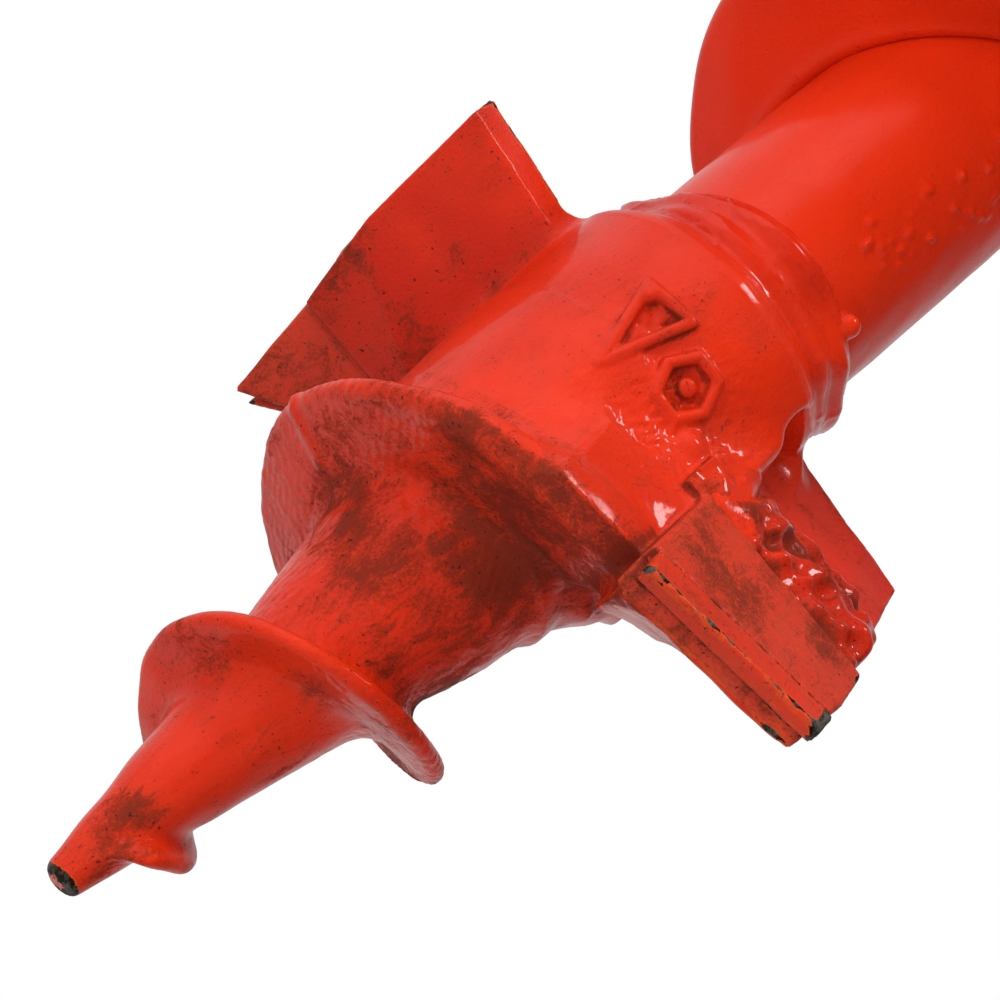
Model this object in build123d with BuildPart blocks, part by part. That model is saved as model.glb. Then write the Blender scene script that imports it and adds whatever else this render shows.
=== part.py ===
from build123d import *
import os
from math import atan2, cos, degrees, pi, radians, sin

# Soil auger bit for a one-man engine drill, 100 mm class, millimetres.
# The bit hangs upright: the axis is Z, the pilot tip points down, and the origin is the
# middle of the drive socket's mouth. Heights in the notes below count up from the tip.

# ---- driving dimensions ----
LENGTH = 700.0            # tip to socket mouth

# stem
TUBE_R = 17.0
TUBE_WALL = 3.2
TUBE_START = 86.0         # how far down the tube reaches inside the hub
HEAD_RIM = 6.0            # height of the drive socket's collar

# pilot screw
PILOT_TOP = 76.0
PILOT_PITCH = 32.12
PILOT_PHASE = -147.65     # azimuth of the screw flight at the tip, degrees
PILOT_TIP_R = 2.5
PILOT_CORE = [(3.0, 3.1), (11.0, 4.5), (20.0, 6.3), (39.5, 9.8), (51.0, 12.3), (60.0, 14.5), (76.0, 15.2)]
SCREW_START = 7.0
SCREW_END = 73.0
SCREW_RIM_BASE = 4.39     # rim radius = base + growth * height
SCREW_RIM_GROWTH = 0.356
SCREW_RIM_T = 3.0
SCREW_ROOT_T = 5.0
SCREW_STEPS_PER_TURN = 16

# hub of the head casting: (height, radius)
HUB_PROFILE = [(76.0, 19.2), (81.0, 20.1), (92.0, 20.9), (104.0, 21.4), (111.0, 21.5), (113.0, 20.4)]
HUB_TOP = 113.0
COLLAR_TOP = 126.0
COLLAR_FOOT_R = 20.2
COLLAR_MID = (119.5, 19.4)    # a point on its crown: height, radius

# wings: both cutting edges run parallel to X, and the two sides are not quite alike
SIDES = {"right": 1, "left": -1}
EDGE_LEAD = {"right": 32.2, "left": 29.9}      # how far ahead of the axis
EDGE_HEIGHT = {"right": 69.5, "left": 70.0}
WING_SLOPE = {"right": 52.3, "left": 53.9}     # degrees
WING_LENGTH = 52.5        # along the slope, where the outer ends are measured
WING_TOP = {"right": (60.5, 54.0), "left": (48.5, 52.7)}   # up the slope at the hub, at the outer end
PLATE_T = 4.5
PLATE_START = 16.0        # the wing plate's leading edge, up the slope from the datum edge
PLATE_BEVEL_END = 28.0
PLATE_EDGE_T = 1.4
PLATE_INNER = 14.0
CUTTER_T = 5.0
CUTTER_INNER = 17.0
BAR_WIDTH = 5.2
BAR_T = 2.6
BAR_PROUD = {"right": 1.0, "left": -2.5}       # past the cutter; the left bar's end is worn away
BEVEL_MARGIN = 1.0        # the cutting sketches reach this far past what they cut
SEAT_MARGIN = 5.0
WELD_LENGTH = 16.0
WELD_T = 3.4
WELD_CROWN = (0.45, 0.8)  # a point on its crown, as shares of its length and thickness
WELD_OUTER_GAP = 1.0
ARM_DEPTH = {"right": 7.0, "left": 3.0}
ARM_CLEARANCE_R = 32.0    # the arms stop outside the pilot's screw flight
FIT_GAP = 0.05            # painted-over gaps between neighbouring welded pieces

# carrying flight
FLIGHT_PITCH = 84.0
FLIGHT_T = 3.2
FLIGHT_INNER = 17.6
FLIGHT_OUTER = 48.0
FLIGHT_LEVEL = 169.4      # flight height where its azimuth is FLIGHT_AZIMUTH
FLIGHT_AZIMUTH = -109.0
LEAD_START = -250.0       # azimuth, degrees
LEAD_END = 0.0            # the full turns start here, where a helix starts
LEAD_START_R = 18.6
LEAD_STEPS = 20
LEAD_GROWTH = 0.5         # the lead-in widens fast, then slowly
TURNS = 5
STITCH_LEG = 3.0
STITCH_ARC = 24.0
STITCH_GAP = 0.1
STITCHES_PER_TURN = 3

# drive socket and its quick-release pin
SOCKET_R = 10.0
SOCKET_MOUTH_WALL = 18.0
RELIEF_R = 11.5
RELIEF_END = 32.0
SOCKET_DEPTH = 56.0
INSERT_LENGTH = 60.0
SOCKET_WELD_LEG = 3.0
PIN_R = 4.0
PIN_HOLE_R = 4.4
PIN_DEPTH = 25.0          # pin axis below the socket mouth
PIN_HEAD_R = 7.0
PIN_HEAD_START = 17.6
PIN_HEAD_END = 22.0
PIN_EYE_X = 26.5
PIN_EYE_R = 2.2
PIN_EYE_HALF = 4.0
PIN_CHAMFER = 1.5
PIN_NOSE = -23.0
BALL_R = 1.5
BALL_X = -19.6
BALL_PROUD = 0.3
SPRING_R = 1.1
SPRING_WIRE_R = 0.2
SPRING_COILS = 5
POCKET_DEPTH = 2.0        # below the pin's centre line
RING_WIRE_R = 1.1
RING_R = 14.0


def up(height):
    """Height above the pilot tip, as a coordinate below the socket mouth."""
    return height - LENGTH


def flight_height(azimuth):
    return up(FLIGHT_LEVEL + (azimuth - FLIGHT_AZIMUTH) * FLIGHT_PITCH / 360.0)


def radial_plane(azimuth, level, rise):
    """A plane through the axis: x runs outward, z runs along a helix that climbs by rise degrees."""
    turn = radians(azimuth)
    climb = radians(rise)
    ahead = (-sin(turn) * cos(climb), cos(turn) * cos(climb), sin(climb))
    return Plane(origin=(0, 0, level), x_dir=(cos(turn), sin(turn), 0), z_dir=ahead)


def wing_plane(name, height=0.0):
    """x outward along the cutting edge, y up the slope, z out of the wing's upper face."""
    side = SIDES[name]
    slope = radians(WING_SLOPE[name])
    normal = Vector(0, -side * sin(slope), cos(slope))
    corner = Vector(0, -side * EDGE_LEAD[name], up(EDGE_HEIGHT[name])) + normal * height
    return Plane(origin=corner, x_dir=(side, 0, 0), z_dir=normal)


# (distance out from the axis, distance up the slope); the left cutter is worn to a spur
WING_ENDS = {
    "right": [(43.4, -1.6), (44.4, 9.0), (43.6, 30.0), (42.0, WING_LENGTH)],
    "left": [(35.1, 0.4), (37.4, 17.0), (40.2, 30.0), (41.6, WING_LENGTH)],
}
CUTTER_SHOULDER = 8.0     # up the slope, where the cutter's outer end turns
CUTTER_INNER_LEAD = {"right": -8.0, "left": 13.0}
CUTTER_TRAIL = {"right": 17.5, "left": 24.0}
ARM_OUTLINES = {
    "right": [(2.0, -3.0), (20.0, -4.0), (36.0, 1.0), (38.0, PLATE_START), (2.0, PLATE_START)],
    "left": [(2.0, 9.0), (18.0, 9.0), (22.0, PLATE_START), (2.0, PLATE_START)],
}


def end_x(name, along):
    """Where the wing's outer end lies at a given distance up the slope."""
    points = WING_ENDS[name]
    for (x0, q0), (x1, q1) in zip(points, points[1:]):
        if along <= q1:
            return x0 + (x1 - x0) * (along - q0) / (q1 - q0)
    return points[-1][0]


os.makedirs("parts", exist_ok=True)


# ---- pilot point: tapered core with a rolled screw flight ----
def screw_azimuth(height):
    return PILOT_PHASE + 360.0 * height / PILOT_PITCH


def core_radius(height):
    points = [(0.0, PILOT_TIP_R)] + PILOT_CORE
    for (h0, r0), (h1, r1) in zip(points, points[1:]):
        if height <= h1:
            return r0 + (r1 - r0) * (height - h0) / (h1 - h0)
    return points[-1][1]


screw_turns = (SCREW_END - SCREW_START) / PILOT_PITCH
screw_steps = round(screw_turns * SCREW_STEPS_PER_TURN)
with BuildPart() as pilot:
    with BuildSketch(Plane.XZ):
        with BuildLine():
            Polyline(
                (0, up(0)),
                (PILOT_TIP_R, up(0)),
                *[(radius, up(height)) for height, radius in PILOT_CORE],
                (0, up(PILOT_TOP)),
                close=True,
            )
        make_face()
    revolve(axis=Axis.Z)
    with BuildPart(mode=Mode.PRIVATE) as screw:
        for step in range(screw_steps + 1):
            height = SCREW_START + (SCREW_END - SCREW_START) * step / screw_steps
            rim = SCREW_RIM_BASE + SCREW_RIM_GROWTH * height
            rise = degrees(atan2(PILOT_PITCH, 2 * pi * rim))
            root = core_radius(height) * 0.6
            with BuildSketch(radial_plane(screw_azimuth(height), up(height), rise)):
                with BuildLine():
                    Polyline(
                        (root, -SCREW_ROOT_T / 2),
                        (rim, -SCREW_RIM_T / 2),
                        (rim, SCREW_RIM_T / 2),
                        (root, SCREW_ROOT_T / 2),
                        close=True,
                    )
                make_face()
        loft(ruled=True)
    add(screw.part)
pilot.part.label = "pilot_point"
export_step(pilot.part, "parts/pilot_point.step")


# ---- head casting: hub, bored for the tube, with a support arm under each cutting edge ----
def wing_prism(name, points, bottom, top):
    """A plate in the wing's plane, between two heights over its lower datum face."""
    with BuildPart(mode=Mode.PRIVATE) as prism:
        with BuildSketch(wing_plane(name, bottom)):
            with BuildLine():
                Polyline(*points, close=True)
            make_face()
        extrude(amount=top - bottom)
    return prism.part


with BuildPart() as hub_blank:
    with BuildSketch(Plane.XZ):
        with BuildLine():
            Polyline(
                (0, up(PILOT_TOP)),
                *[(radius, up(height)) for height, radius in HUB_PROFILE],
                (0, up(HUB_TOP)),
                close=True,
            )
        make_face()
    revolve(axis=Axis.Z)

with BuildPart() as head:
    add(hub_blank.part)
    for name, outline in ARM_OUTLINES.items():
        add(wing_prism(name, outline, -ARM_DEPTH[name], 0.0))
    with BuildSketch(Plane.XY.offset(up(TUBE_START))):
        Circle(TUBE_R)
    extrude(amount=HUB_TOP - TUBE_START, mode=Mode.SUBTRACT)
    with BuildSketch(Plane.XY.offset(up(PILOT_TOP))):
        Circle(ARM_CLEARANCE_R)
    extrude(amount=-ARM_CLEARANCE_R, mode=Mode.SUBTRACT)
head.part.label = "head_casting"
export_step(head.part, "parts/head_casting.step")


# ---- wings: a plate on the hub, the cutter on its face, a hard bar and the weld behind ----
for name, side in SIDES.items():
    face = wing_plane(name)
    inner_top, outer_top = WING_TOP[name]
    with BuildPart() as wing_plate:
        plate_outline = [
            (PLATE_INNER, PLATE_START),
            (end_x(name, PLATE_START), PLATE_START),
            (end_x(name, PLATE_BEVEL_END), PLATE_BEVEL_END),
            (end_x(name, WING_LENGTH), outer_top),
            (PLATE_INNER, inner_top),
        ]
        add(wing_prism(name, plate_outline, -PLATE_T, 0.0))
        # bevel under the leading edge
        with BuildSketch(Plane(origin=face.origin, x_dir=face.y_dir, z_dir=-face.x_dir)):
            with BuildLine():
                Polyline(
                    (PLATE_START - BEVEL_MARGIN, PLATE_EDGE_T),
                    (PLATE_START, PLATE_EDGE_T),
                    (PLATE_BEVEL_END, PLATE_T),
                    (PLATE_BEVEL_END, PLATE_T + BEVEL_MARGIN),
                    (PLATE_START - BEVEL_MARGIN, PLATE_T + BEVEL_MARGIN),
                    close=True,
                )
            make_face()
        extrude(amount=FLIGHT_OUTER, both=True, mode=Mode.SUBTRACT)
        # cut back to the hub, and to the weld collar above it
        add(hub_blank.part, mode=Mode.SUBTRACT)
        with BuildSketch(Plane.XY.offset(up(HUB_TOP))):
            Circle(COLLAR_FOOT_R + FIT_GAP)
        extrude(amount=COLLAR_TOP - HUB_TOP, mode=Mode.SUBTRACT)
    wing_plate.part.label = "wing_plate_" + name
    export_step(wing_plate.part, f"parts/wing_plate_{name}.step")

    inner_lead = CUTTER_INNER_LEAD[name]
    outer_x, outer_lead = WING_ENDS[name][0]
    trail = CUTTER_TRAIL[name]
    with BuildPart() as cutter:
        cutter_outline = [
            (CUTTER_INNER, inner_lead),
            (outer_x, outer_lead),
            (end_x(name, CUTTER_SHOULDER), CUTTER_SHOULDER),
            (end_x(name, trail), trail),
            (CUTTER_INNER, trail),
        ]
        seat_front = min(inner_lead, outer_lead) - SEAT_MARGIN
        seat_inner = CUTTER_INNER - SEAT_MARGIN
        seat_outer = outer_x + SEAT_MARGIN
        bar_seat = [
            (seat_inner, seat_front),
            (seat_outer, seat_front),
            (seat_outer, outer_lead + BAR_WIDTH),
            (outer_x, outer_lead + BAR_WIDTH),
            (CUTTER_INNER, inner_lead + BAR_WIDTH),
            (seat_inner, inner_lead + BAR_WIDTH),
        ]
        add(wing_prism(name, cutter_outline, FIT_GAP, CUTTER_T))
        add(wing_prism(name, bar_seat, CUTTER_T - BAR_T, CUTTER_T + SEAT_MARGIN), mode=Mode.SUBTRACT)
        add(hub_blank.part, mode=Mode.SUBTRACT)
    cutter.part.label = "cutter_plate_" + name
    export_step(cutter.part, f"parts/cutter_plate_{name}.step")

    with BuildPart() as bar:
        bar_back = BAR_WIDTH - FIT_GAP
        bar_outer = outer_x + BAR_PROUD[name]
        bar_outline = [
            (CUTTER_INNER, inner_lead),
            (bar_outer, outer_lead),
            (bar_outer, outer_lead + bar_back),
            (CUTTER_INNER, inner_lead + bar_back),
        ]
        add(wing_prism(name, bar_outline, CUTTER_T - BAR_T + FIT_GAP, CUTTER_T))
    bar.part.label = "wear_bar_" + name
    export_step(bar.part, f"parts/wear_bar_{name}.step")

    with BuildPart() as bead:
        weld_start = trail + FIT_GAP
        weld_end = weld_start + WELD_LENGTH
        weld_outer = end_x(name, weld_end) - WELD_OUTER_GAP
        crown_along, crown_high = WELD_CROWN
        with BuildSketch(Plane(origin=face.origin, x_dir=face.y_dir, z_dir=face.x_dir)):
            with BuildLine():
                low_edge = Line((weld_start, FIT_GAP), (weld_end, FIT_GAP))
                crown = ThreePointArc(
                    low_edge @ 1,
                    (weld_start + WELD_LENGTH * crown_along, WELD_T * crown_high),
                    (weld_start, WELD_T),
                )
                Line(crown @ 1, low_edge @ 0)
            make_face()
        extrude(amount=weld_outer)
        add(hub_blank.part, mode=Mode.SUBTRACT)
        # nothing inside the plate's root
        with BuildSketch(Plane.YZ.offset(side * PLATE_INNER)):
            with Locations((0, up(HUB_TOP))):
                Rectangle(2 * HUB_TOP, 2 * HUB_TOP)
        extrude(amount=-side * FLIGHT_OUTER, mode=Mode.SUBTRACT)
    bead.part.label = "cutter_weld_" + name
    export_step(bead.part, f"parts/cutter_weld_{name}.step")


# ---- weld collar between hub and tube ----
with BuildPart() as collar:
    with BuildSketch(Plane.XZ):
        with BuildLine():
            inner = TUBE_R + FIT_GAP
            foot_level = up(HUB_TOP) + FIT_GAP
            mid_height, mid_r = COLLAR_MID
            foot = Line((inner, foot_level), (COLLAR_FOOT_R, foot_level))
            crown = ThreePointArc(foot @ 1, (mid_r, up(mid_height)), (inner, up(COLLAR_TOP)))
            Line(crown @ 1, foot @ 0)
        make_face()
    revolve(axis=Axis.Z)
collar.part.label = "hub_weld"
export_step(collar.part, "parts/hub_weld.step")


# ---- stem tube, cross-drilled for the drive pin ----
pin_plane = Plane(origin=(0, 0, -PIN_DEPTH), x_dir=(0, 1, 0), z_dir=(1, 0, 0))
with BuildPart() as tube:
    with BuildSketch(Plane.XY.offset(up(TUBE_START))):
        Circle(TUBE_R)
        Circle(TUBE_R - TUBE_WALL, mode=Mode.SUBTRACT)
    extrude(amount=LENGTH - TUBE_START - HEAD_RIM)
    with BuildSketch(pin_plane):
        Circle(PIN_HOLE_R)
    extrude(amount=TUBE_R * 2, both=True, mode=Mode.SUBTRACT)
tube.part.label = "tube"
export_step(tube.part, "parts/tube.step")


# ---- carrying flight: a growing lead-in, then full turns end to end ----
flight_mid = (FLIGHT_INNER + FLIGHT_OUTER) / 2
flight_rise = degrees(atan2(FLIGHT_PITCH, 2 * pi * flight_mid))


def flight_plane(azimuth):
    """Plane of the flight's cross-section at an azimuth."""
    return radial_plane(azimuth, flight_height(azimuth), flight_rise)


with BuildPart() as lead_in:
    for step in range(LEAD_STEPS + 1):
        share = step / LEAD_STEPS
        azimuth = LEAD_START + (LEAD_END - LEAD_START) * share
        outer = LEAD_START_R + (FLIGHT_OUTER - LEAD_START_R) * share**LEAD_GROWTH
        with BuildSketch(flight_plane(azimuth)):
            with Locations(((FLIGHT_INNER + outer) / 2, 0)):
                Rectangle(outer - FLIGHT_INNER, FLIGHT_T)
    loft(ruled=True)
lead_in.part.label = "flight_lead_in"
export_step(lead_in.part, "parts/flight_lead_in.step")

for turn in range(TURNS):
    azimuth = LEAD_END + 360 * turn
    with BuildPart() as turn_plate:
        with BuildLine(Plane.XY.offset(flight_height(azimuth))):
            Helix(pitch=FLIGHT_PITCH, height=FLIGHT_PITCH, radius=flight_mid)
        with BuildSketch(flight_plane(azimuth)):
            with Locations((flight_mid, 0)):
                Rectangle(FLIGHT_OUTER - FLIGHT_INNER, FLIGHT_T)
        sweep(is_frenet=True)
    turn_plate.part.label = f"flight_turn_{turn + 1}"
    export_step(turn_plate.part, f"parts/flight_turn_{turn + 1}.step")


# ---- stitch welds in the corner under the flight's root ----
root_rise = degrees(atan2(FLIGHT_PITCH, 2 * pi * TUBE_R))
stitch_climb = FLIGHT_PITCH * STITCH_ARC / 360
stitch_drop = FLIGHT_T / 2 / cos(radians(root_rise)) + STITCH_LEG * 0.75
with BuildPart() as stitch:
    with BuildLine():
        Helix(pitch=FLIGHT_PITCH, height=stitch_climb, radius=TUBE_R + STITCH_LEG / 2)
    with BuildSketch(radial_plane(0, 0, root_rise)):
        with BuildLine():
            Polyline(
                (TUBE_R + STITCH_GAP, -STITCH_LEG / 2),
                (TUBE_R + STITCH_LEG, STITCH_LEG / 2),
                (TUBE_R + STITCH_GAP, STITCH_LEG / 2),
                close=True,
            )
        make_face()
    sweep(is_frenet=True)

stitch_places = []
for number in range(TURNS * STITCHES_PER_TURN):
    azimuth = LEAD_END + 360 * (number + 0.4) / STITCHES_PER_TURN
    stitch_places.append(Location((0, 0, flight_height(azimuth) - stitch_drop), (0, 0, azimuth)))
with BuildPart() as stitches:
    with Locations(*stitch_places):
        add(stitch.part)
stitches.part.label = "flight_welds"
export_step(stitches.part, "parts/flight_welds.step")


# ---- drive socket: collared insert with a relieved bore ----
insert_r = TUBE_R - TUBE_WALL - FIT_GAP
with BuildPart() as socket:
    with BuildSketch(Plane.XZ):
        with BuildLine():
            Polyline(
                (SOCKET_R, 0),
                (TUBE_R - 1, 0),
                (TUBE_R, -1),
                (TUBE_R, -HEAD_RIM),
                (insert_r, -HEAD_RIM),
                (insert_r, -INSERT_LENGTH),
                (0, -INSERT_LENGTH),
                (0, -SOCKET_DEPTH),
                (SOCKET_R, -SOCKET_DEPTH),
                (SOCKET_R, -RELIEF_END),
                (RELIEF_R, -RELIEF_END),
                (RELIEF_R, -SOCKET_MOUTH_WALL),
                (SOCKET_R, -SOCKET_MOUTH_WALL),
                close=True,
            )
        make_face()
    revolve(axis=Axis.Z)
    with BuildSketch(pin_plane):
        Circle(PIN_HOLE_R)
    extrude(amount=TUBE_R * 2, both=True, mode=Mode.SUBTRACT)
socket.part.label = "drive_socket"
export_step(socket.part, "parts/drive_socket.step")

with BuildPart() as socket_bead:
    with BuildSketch(Plane.XZ):
        with BuildLine():
            inner = TUBE_R + FIT_GAP
            back = Line((inner, -HEAD_RIM - SOCKET_WELD_LEG), (inner, -HEAD_RIM + SOCKET_WELD_LEG))
            ThreePointArc(back @ 1, (inner + SOCKET_WELD_LEG * 0.5, -HEAD_RIM), back @ 0)
        make_face()
    revolve(axis=Axis.Z)
socket_bead.part.label = "socket_weld"
export_step(socket_bead.part, "parts/socket_weld.step")


# ---- quick-release drive pin, its ball and spring, and the pull ring ----
eye_plane = Plane.XZ.offset(-PIN_EYE_HALF)
with BuildPart() as pin:
    with BuildSketch(Plane.XZ):
        with BuildLine():
            Polyline(
                (PIN_NOSE, -PIN_DEPTH),
                (PIN_NOSE, PIN_R - PIN_CHAMFER - PIN_DEPTH),
                (PIN_NOSE + PIN_CHAMFER, PIN_R - PIN_DEPTH),
                (PIN_HEAD_START, PIN_R - PIN_DEPTH),
                (PIN_HEAD_START, PIN_HEAD_R - PIN_DEPTH),
                (PIN_HEAD_END, PIN_HEAD_R - PIN_DEPTH),
                (PIN_HEAD_END, -PIN_DEPTH),
                close=True,
            )
        make_face()
    revolve(axis=Axis((0, 0, -PIN_DEPTH), (1, 0, 0)))
    # flat-sided eye for the ring
    with BuildSketch(eye_plane):
        with BuildLine():
            low = Line((PIN_HEAD_END, -PIN_DEPTH - PIN_EYE_HALF), (PIN_EYE_X, -PIN_DEPTH - PIN_EYE_HALF))
            nose = ThreePointArc(
                low @ 1,
                (PIN_EYE_X + PIN_EYE_HALF, -PIN_DEPTH),
                (PIN_EYE_X, -PIN_DEPTH + PIN_EYE_HALF),
            )
            high = Line(nose @ 1, (PIN_HEAD_END, -PIN_DEPTH + PIN_EYE_HALF))
            Line(high @ 1, low @ 0)
        make_face()
    extrude(amount=2 * PIN_EYE_HALF)
    with BuildSketch(eye_plane):
        with Locations((PIN_EYE_X, -PIN_DEPTH)):
            Circle(PIN_EYE_R)
    extrude(amount=2 * PIN_EYE_HALF, mode=Mode.SUBTRACT)
    # pocket for the spring and ball, opening upward near the nose
    with BuildSketch(Plane.XY.offset(-PIN_DEPTH - POCKET_DEPTH)):
        with Locations((BALL_X, 0)):
            Circle(BALL_R + FIT_GAP)
    extrude(amount=POCKET_DEPTH + PIN_R, mode=Mode.SUBTRACT)
pin.part.label = "drive_pin"
export_step(pin.part, "parts/drive_pin.step")

ball_z = PIN_R + BALL_PROUD - BALL_R - PIN_DEPTH
with BuildPart() as ball:
    with BuildSketch(Plane.XZ):
        with BuildLine():
            arc = ThreePointArc(
                (BALL_X, ball_z + BALL_R), (BALL_X + BALL_R, ball_z), (BALL_X, ball_z - BALL_R)
            )
            Line(arc @ 1, arc @ 0)
        make_face()
    revolve(axis=Axis((BALL_X, 0, 0), (0, 0, 1)))
ball.part.label = "detent_ball"
export_step(ball.part, "parts/detent_ball.step")

spring_base = -PIN_DEPTH - POCKET_DEPTH + SPRING_WIRE_R + FIT_GAP
spring_height = ball_z - BALL_R - SPRING_WIRE_R - FIT_GAP - spring_base
with BuildPart() as spring:
    with BuildLine(Plane.XY.offset(spring_base)):
        coil_pitch = spring_height / SPRING_COILS
        Helix(pitch=coil_pitch, height=spring_height, radius=SPRING_R, center=(BALL_X, 0, 0))
    with BuildSketch(Plane(origin=(BALL_X + SPRING_R, 0, spring_base), x_dir=(1, 0, 0), z_dir=(0, 1, 0))):
        Circle(SPRING_WIRE_R)
    sweep(is_frenet=True)
spring.part.label = "detent_spring"
export_step(spring.part, "parts/detent_spring.step")

# hangs in the eye, with its wire bending half above and half below the eye's centre
wire_bend = RING_R - (RING_R**2 - PIN_EYE_HALF**2) ** 0.5
ring_top = -PIN_DEPTH + wire_bend / 2
with BuildPart() as ring:
    with BuildSketch(Plane.XZ):
        with Locations((PIN_EYE_X, ring_top)):
            Circle(RING_WIRE_R)
    revolve(axis=Axis((PIN_EYE_X, 0, ring_top - RING_R), (1, 0, 0)))
ring.part.label = "pull_ring"
export_step(ring.part, "parts/pull_ring.step")
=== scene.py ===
from math import atan2, cos, pi, radians, sin, tau

import bmesh
import bpy
import numpy as np
import openvdb as vdb
from mathutils import Matrix, Vector


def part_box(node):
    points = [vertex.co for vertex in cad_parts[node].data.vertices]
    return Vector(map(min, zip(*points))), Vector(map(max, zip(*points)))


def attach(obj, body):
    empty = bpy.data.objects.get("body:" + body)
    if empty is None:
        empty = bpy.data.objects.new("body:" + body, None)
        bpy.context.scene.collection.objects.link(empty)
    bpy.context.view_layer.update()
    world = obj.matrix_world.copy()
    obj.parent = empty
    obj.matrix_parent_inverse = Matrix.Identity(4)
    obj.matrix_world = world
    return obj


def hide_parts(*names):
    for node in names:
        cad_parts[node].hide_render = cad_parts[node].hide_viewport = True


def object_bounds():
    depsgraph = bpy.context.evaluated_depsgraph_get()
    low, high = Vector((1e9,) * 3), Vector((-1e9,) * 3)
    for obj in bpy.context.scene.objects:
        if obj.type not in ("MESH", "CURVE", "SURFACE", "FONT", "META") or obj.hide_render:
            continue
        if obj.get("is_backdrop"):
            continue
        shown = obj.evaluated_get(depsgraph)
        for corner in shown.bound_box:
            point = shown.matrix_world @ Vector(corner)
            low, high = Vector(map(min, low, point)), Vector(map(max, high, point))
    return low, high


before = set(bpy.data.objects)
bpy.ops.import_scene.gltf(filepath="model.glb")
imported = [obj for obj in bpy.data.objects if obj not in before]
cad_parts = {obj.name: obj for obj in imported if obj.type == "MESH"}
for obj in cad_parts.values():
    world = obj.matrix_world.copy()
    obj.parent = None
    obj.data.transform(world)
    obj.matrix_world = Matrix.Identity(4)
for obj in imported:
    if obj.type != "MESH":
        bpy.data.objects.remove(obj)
cad_low, cad_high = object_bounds()

# Lengths below are millimetres and heights count up from the pilot tip, as on the bench;
# place() turns them into the frame's metres.
MM = 0.001
TIP_Z = cad_low.z
LENGTH = (cad_high.z - cad_low.z) / MM

VOXEL = 0.5      # lattice step of the cast and welded pieces
PROJECT_STEPS = 2


def place(points):
    """Millimetres above the tip to metres in the frame."""
    out = np.asarray(points, float) * MM
    out[:, 2] += TIP_Z
    return out


# ------------------------------------------------------------------ field helpers
def smooth_min(a, b, width):
    h = np.maximum(width - np.abs(a - b), 0.0) / width
    return np.minimum(a, b) - h * h * width * 0.25


def smooth_max(a, b, width):
    return -smooth_min(-a, -b, width)


def smooth_step(value, start, end):
    s = np.clip((value - start) / (end - start), 0.0, 1.0)
    return s * s * (3.0 - 2.0 * s)


def wrap(angle):
    return (angle + pi) % tau - pi


def bump(value, centre, width):
    return np.exp(-(((value - centre) / width) ** 2))


class Lumps:
    """A soft random field from a few plane waves; about -1 to 1."""

    def __init__(self, wavelength, seed, waves=10, stretch=(1.0, 1.0, 1.0)):
        rng = np.random.default_rng(seed)
        directions = rng.normal(size=(waves, 3))
        directions /= np.linalg.norm(directions, axis=1)[:, None]
        sizes = tau / wavelength * rng.uniform(0.6, 1.5, size=(waves, 1))
        self.waves = (directions * sizes / np.array(stretch)).astype(np.float32)
        self.phases = rng.uniform(0, tau, size=waves)
        self.scale = 1.0 / np.sqrt(waves / 2.0) / 1.6

    def __call__(self, x, y, t):
        total = 0.0
        for (a, b, c), phase in zip(self.waves, self.phases):
            total = total + np.sin(a * x + b * y + c * t + np.float32(phase))
        return total * self.scale


def rounded(flat, edge, radius):
    """A slab (signed distance edge) inside an outline (signed distance flat), with rounded corners."""
    a = flat + radius
    b = edge + radius
    outside = np.sqrt(np.maximum(a, 0.0) ** 2 + np.maximum(b, 0.0) ** 2)
    return outside + np.minimum(np.maximum(a, b), 0.0) - radius


def polygon(u, v, corners):
    """Signed distance to a convex outline with anticlockwise corners."""
    distance = None
    for (u0, v0), (u1, v1) in zip(corners, corners[1:] + corners[:1]):
        length = ((u1 - u0) ** 2 + (v1 - v0) ** 2) ** 0.5
        side = ((u - u0) * (v1 - v0) - (v - v0) * (u1 - u0)) / length
        distance = side if distance is None else np.maximum(distance, side)
    return distance


def stroke(u, v, points, closed=False):
    """Distance to a line through points."""
    distance = None
    ends = points[1:] + points[:1] if closed else points[1:]
    for (u0, v0), (u1, v1) in zip(points, ends):
        du, dv = u1 - u0, v1 - v0
        along = np.clip(((u - u0) * du + (v - v0) * dv) / (du * du + dv * dv), 0.0, 1.0)
        d = np.hypot(u - u0 - along * du, v - v0 - along * dv)
        distance = d if distance is None else np.minimum(distance, d)
    return distance


# ------------------------------------------------------------------ the drilling head, as one field
FIN_SPOT = (15.4, -4.6, 72.6)        # a fin of flash: along X, along Y, up
FIN_REACH = 1.5
PILOT_CORE = [
    (0.0, 2.6), (3.0, 3.1), (11.0, 4.5), (20.0, 6.3),
    (39.5, 9.8), (51.0, 12.3), (60.0, 14.3), (76.0, 15.4),
]
PILOT_TOP = 76.0
PITCH = 32.118
PHASE = -2.577
RIM_BASE = 4.387             # radius of the flight's rim = base + growth * height
RIM_GROWTH = 0.356
RIM_FADE = (72.6, 75.2)      # it runs out between these heights
HUB = [
    (70.0, 15.0), (75.6, 19.0), (81.0, 20.1), (92.0, 20.9),
    (104.0, 21.4), (110.6, 21.6), (112.2, 20.6), (114.0, 19.5),
]
HUB_TOP = 113.0
RIM_END_AZIMUTH = -15.8      # where the pilot's flight reaches the hub's foot
FOOT_HEIGHT = 14.0
FOOT_R = 20.4
FOOT_TOP = 93.0
FOOT_INSET = 1.6             # how far inside the rim the foot ends
ROLL_R = 1.45                # of the rolled rim
POCKET_AZIMUTHS = (-24.0, 156.0)
POCKET = (23.5, 108.5, 7.6)  # out from the axis, up, radius
TUBE_R = 17.0
COLLAR = [
    (109.0, 17.0), (111.5, 19.7), (114.0, 20.0), (117.0, 19.6),
    (120.0, 19.1), (121.6, 18.6), (122.8, 16.9),
]

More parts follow.
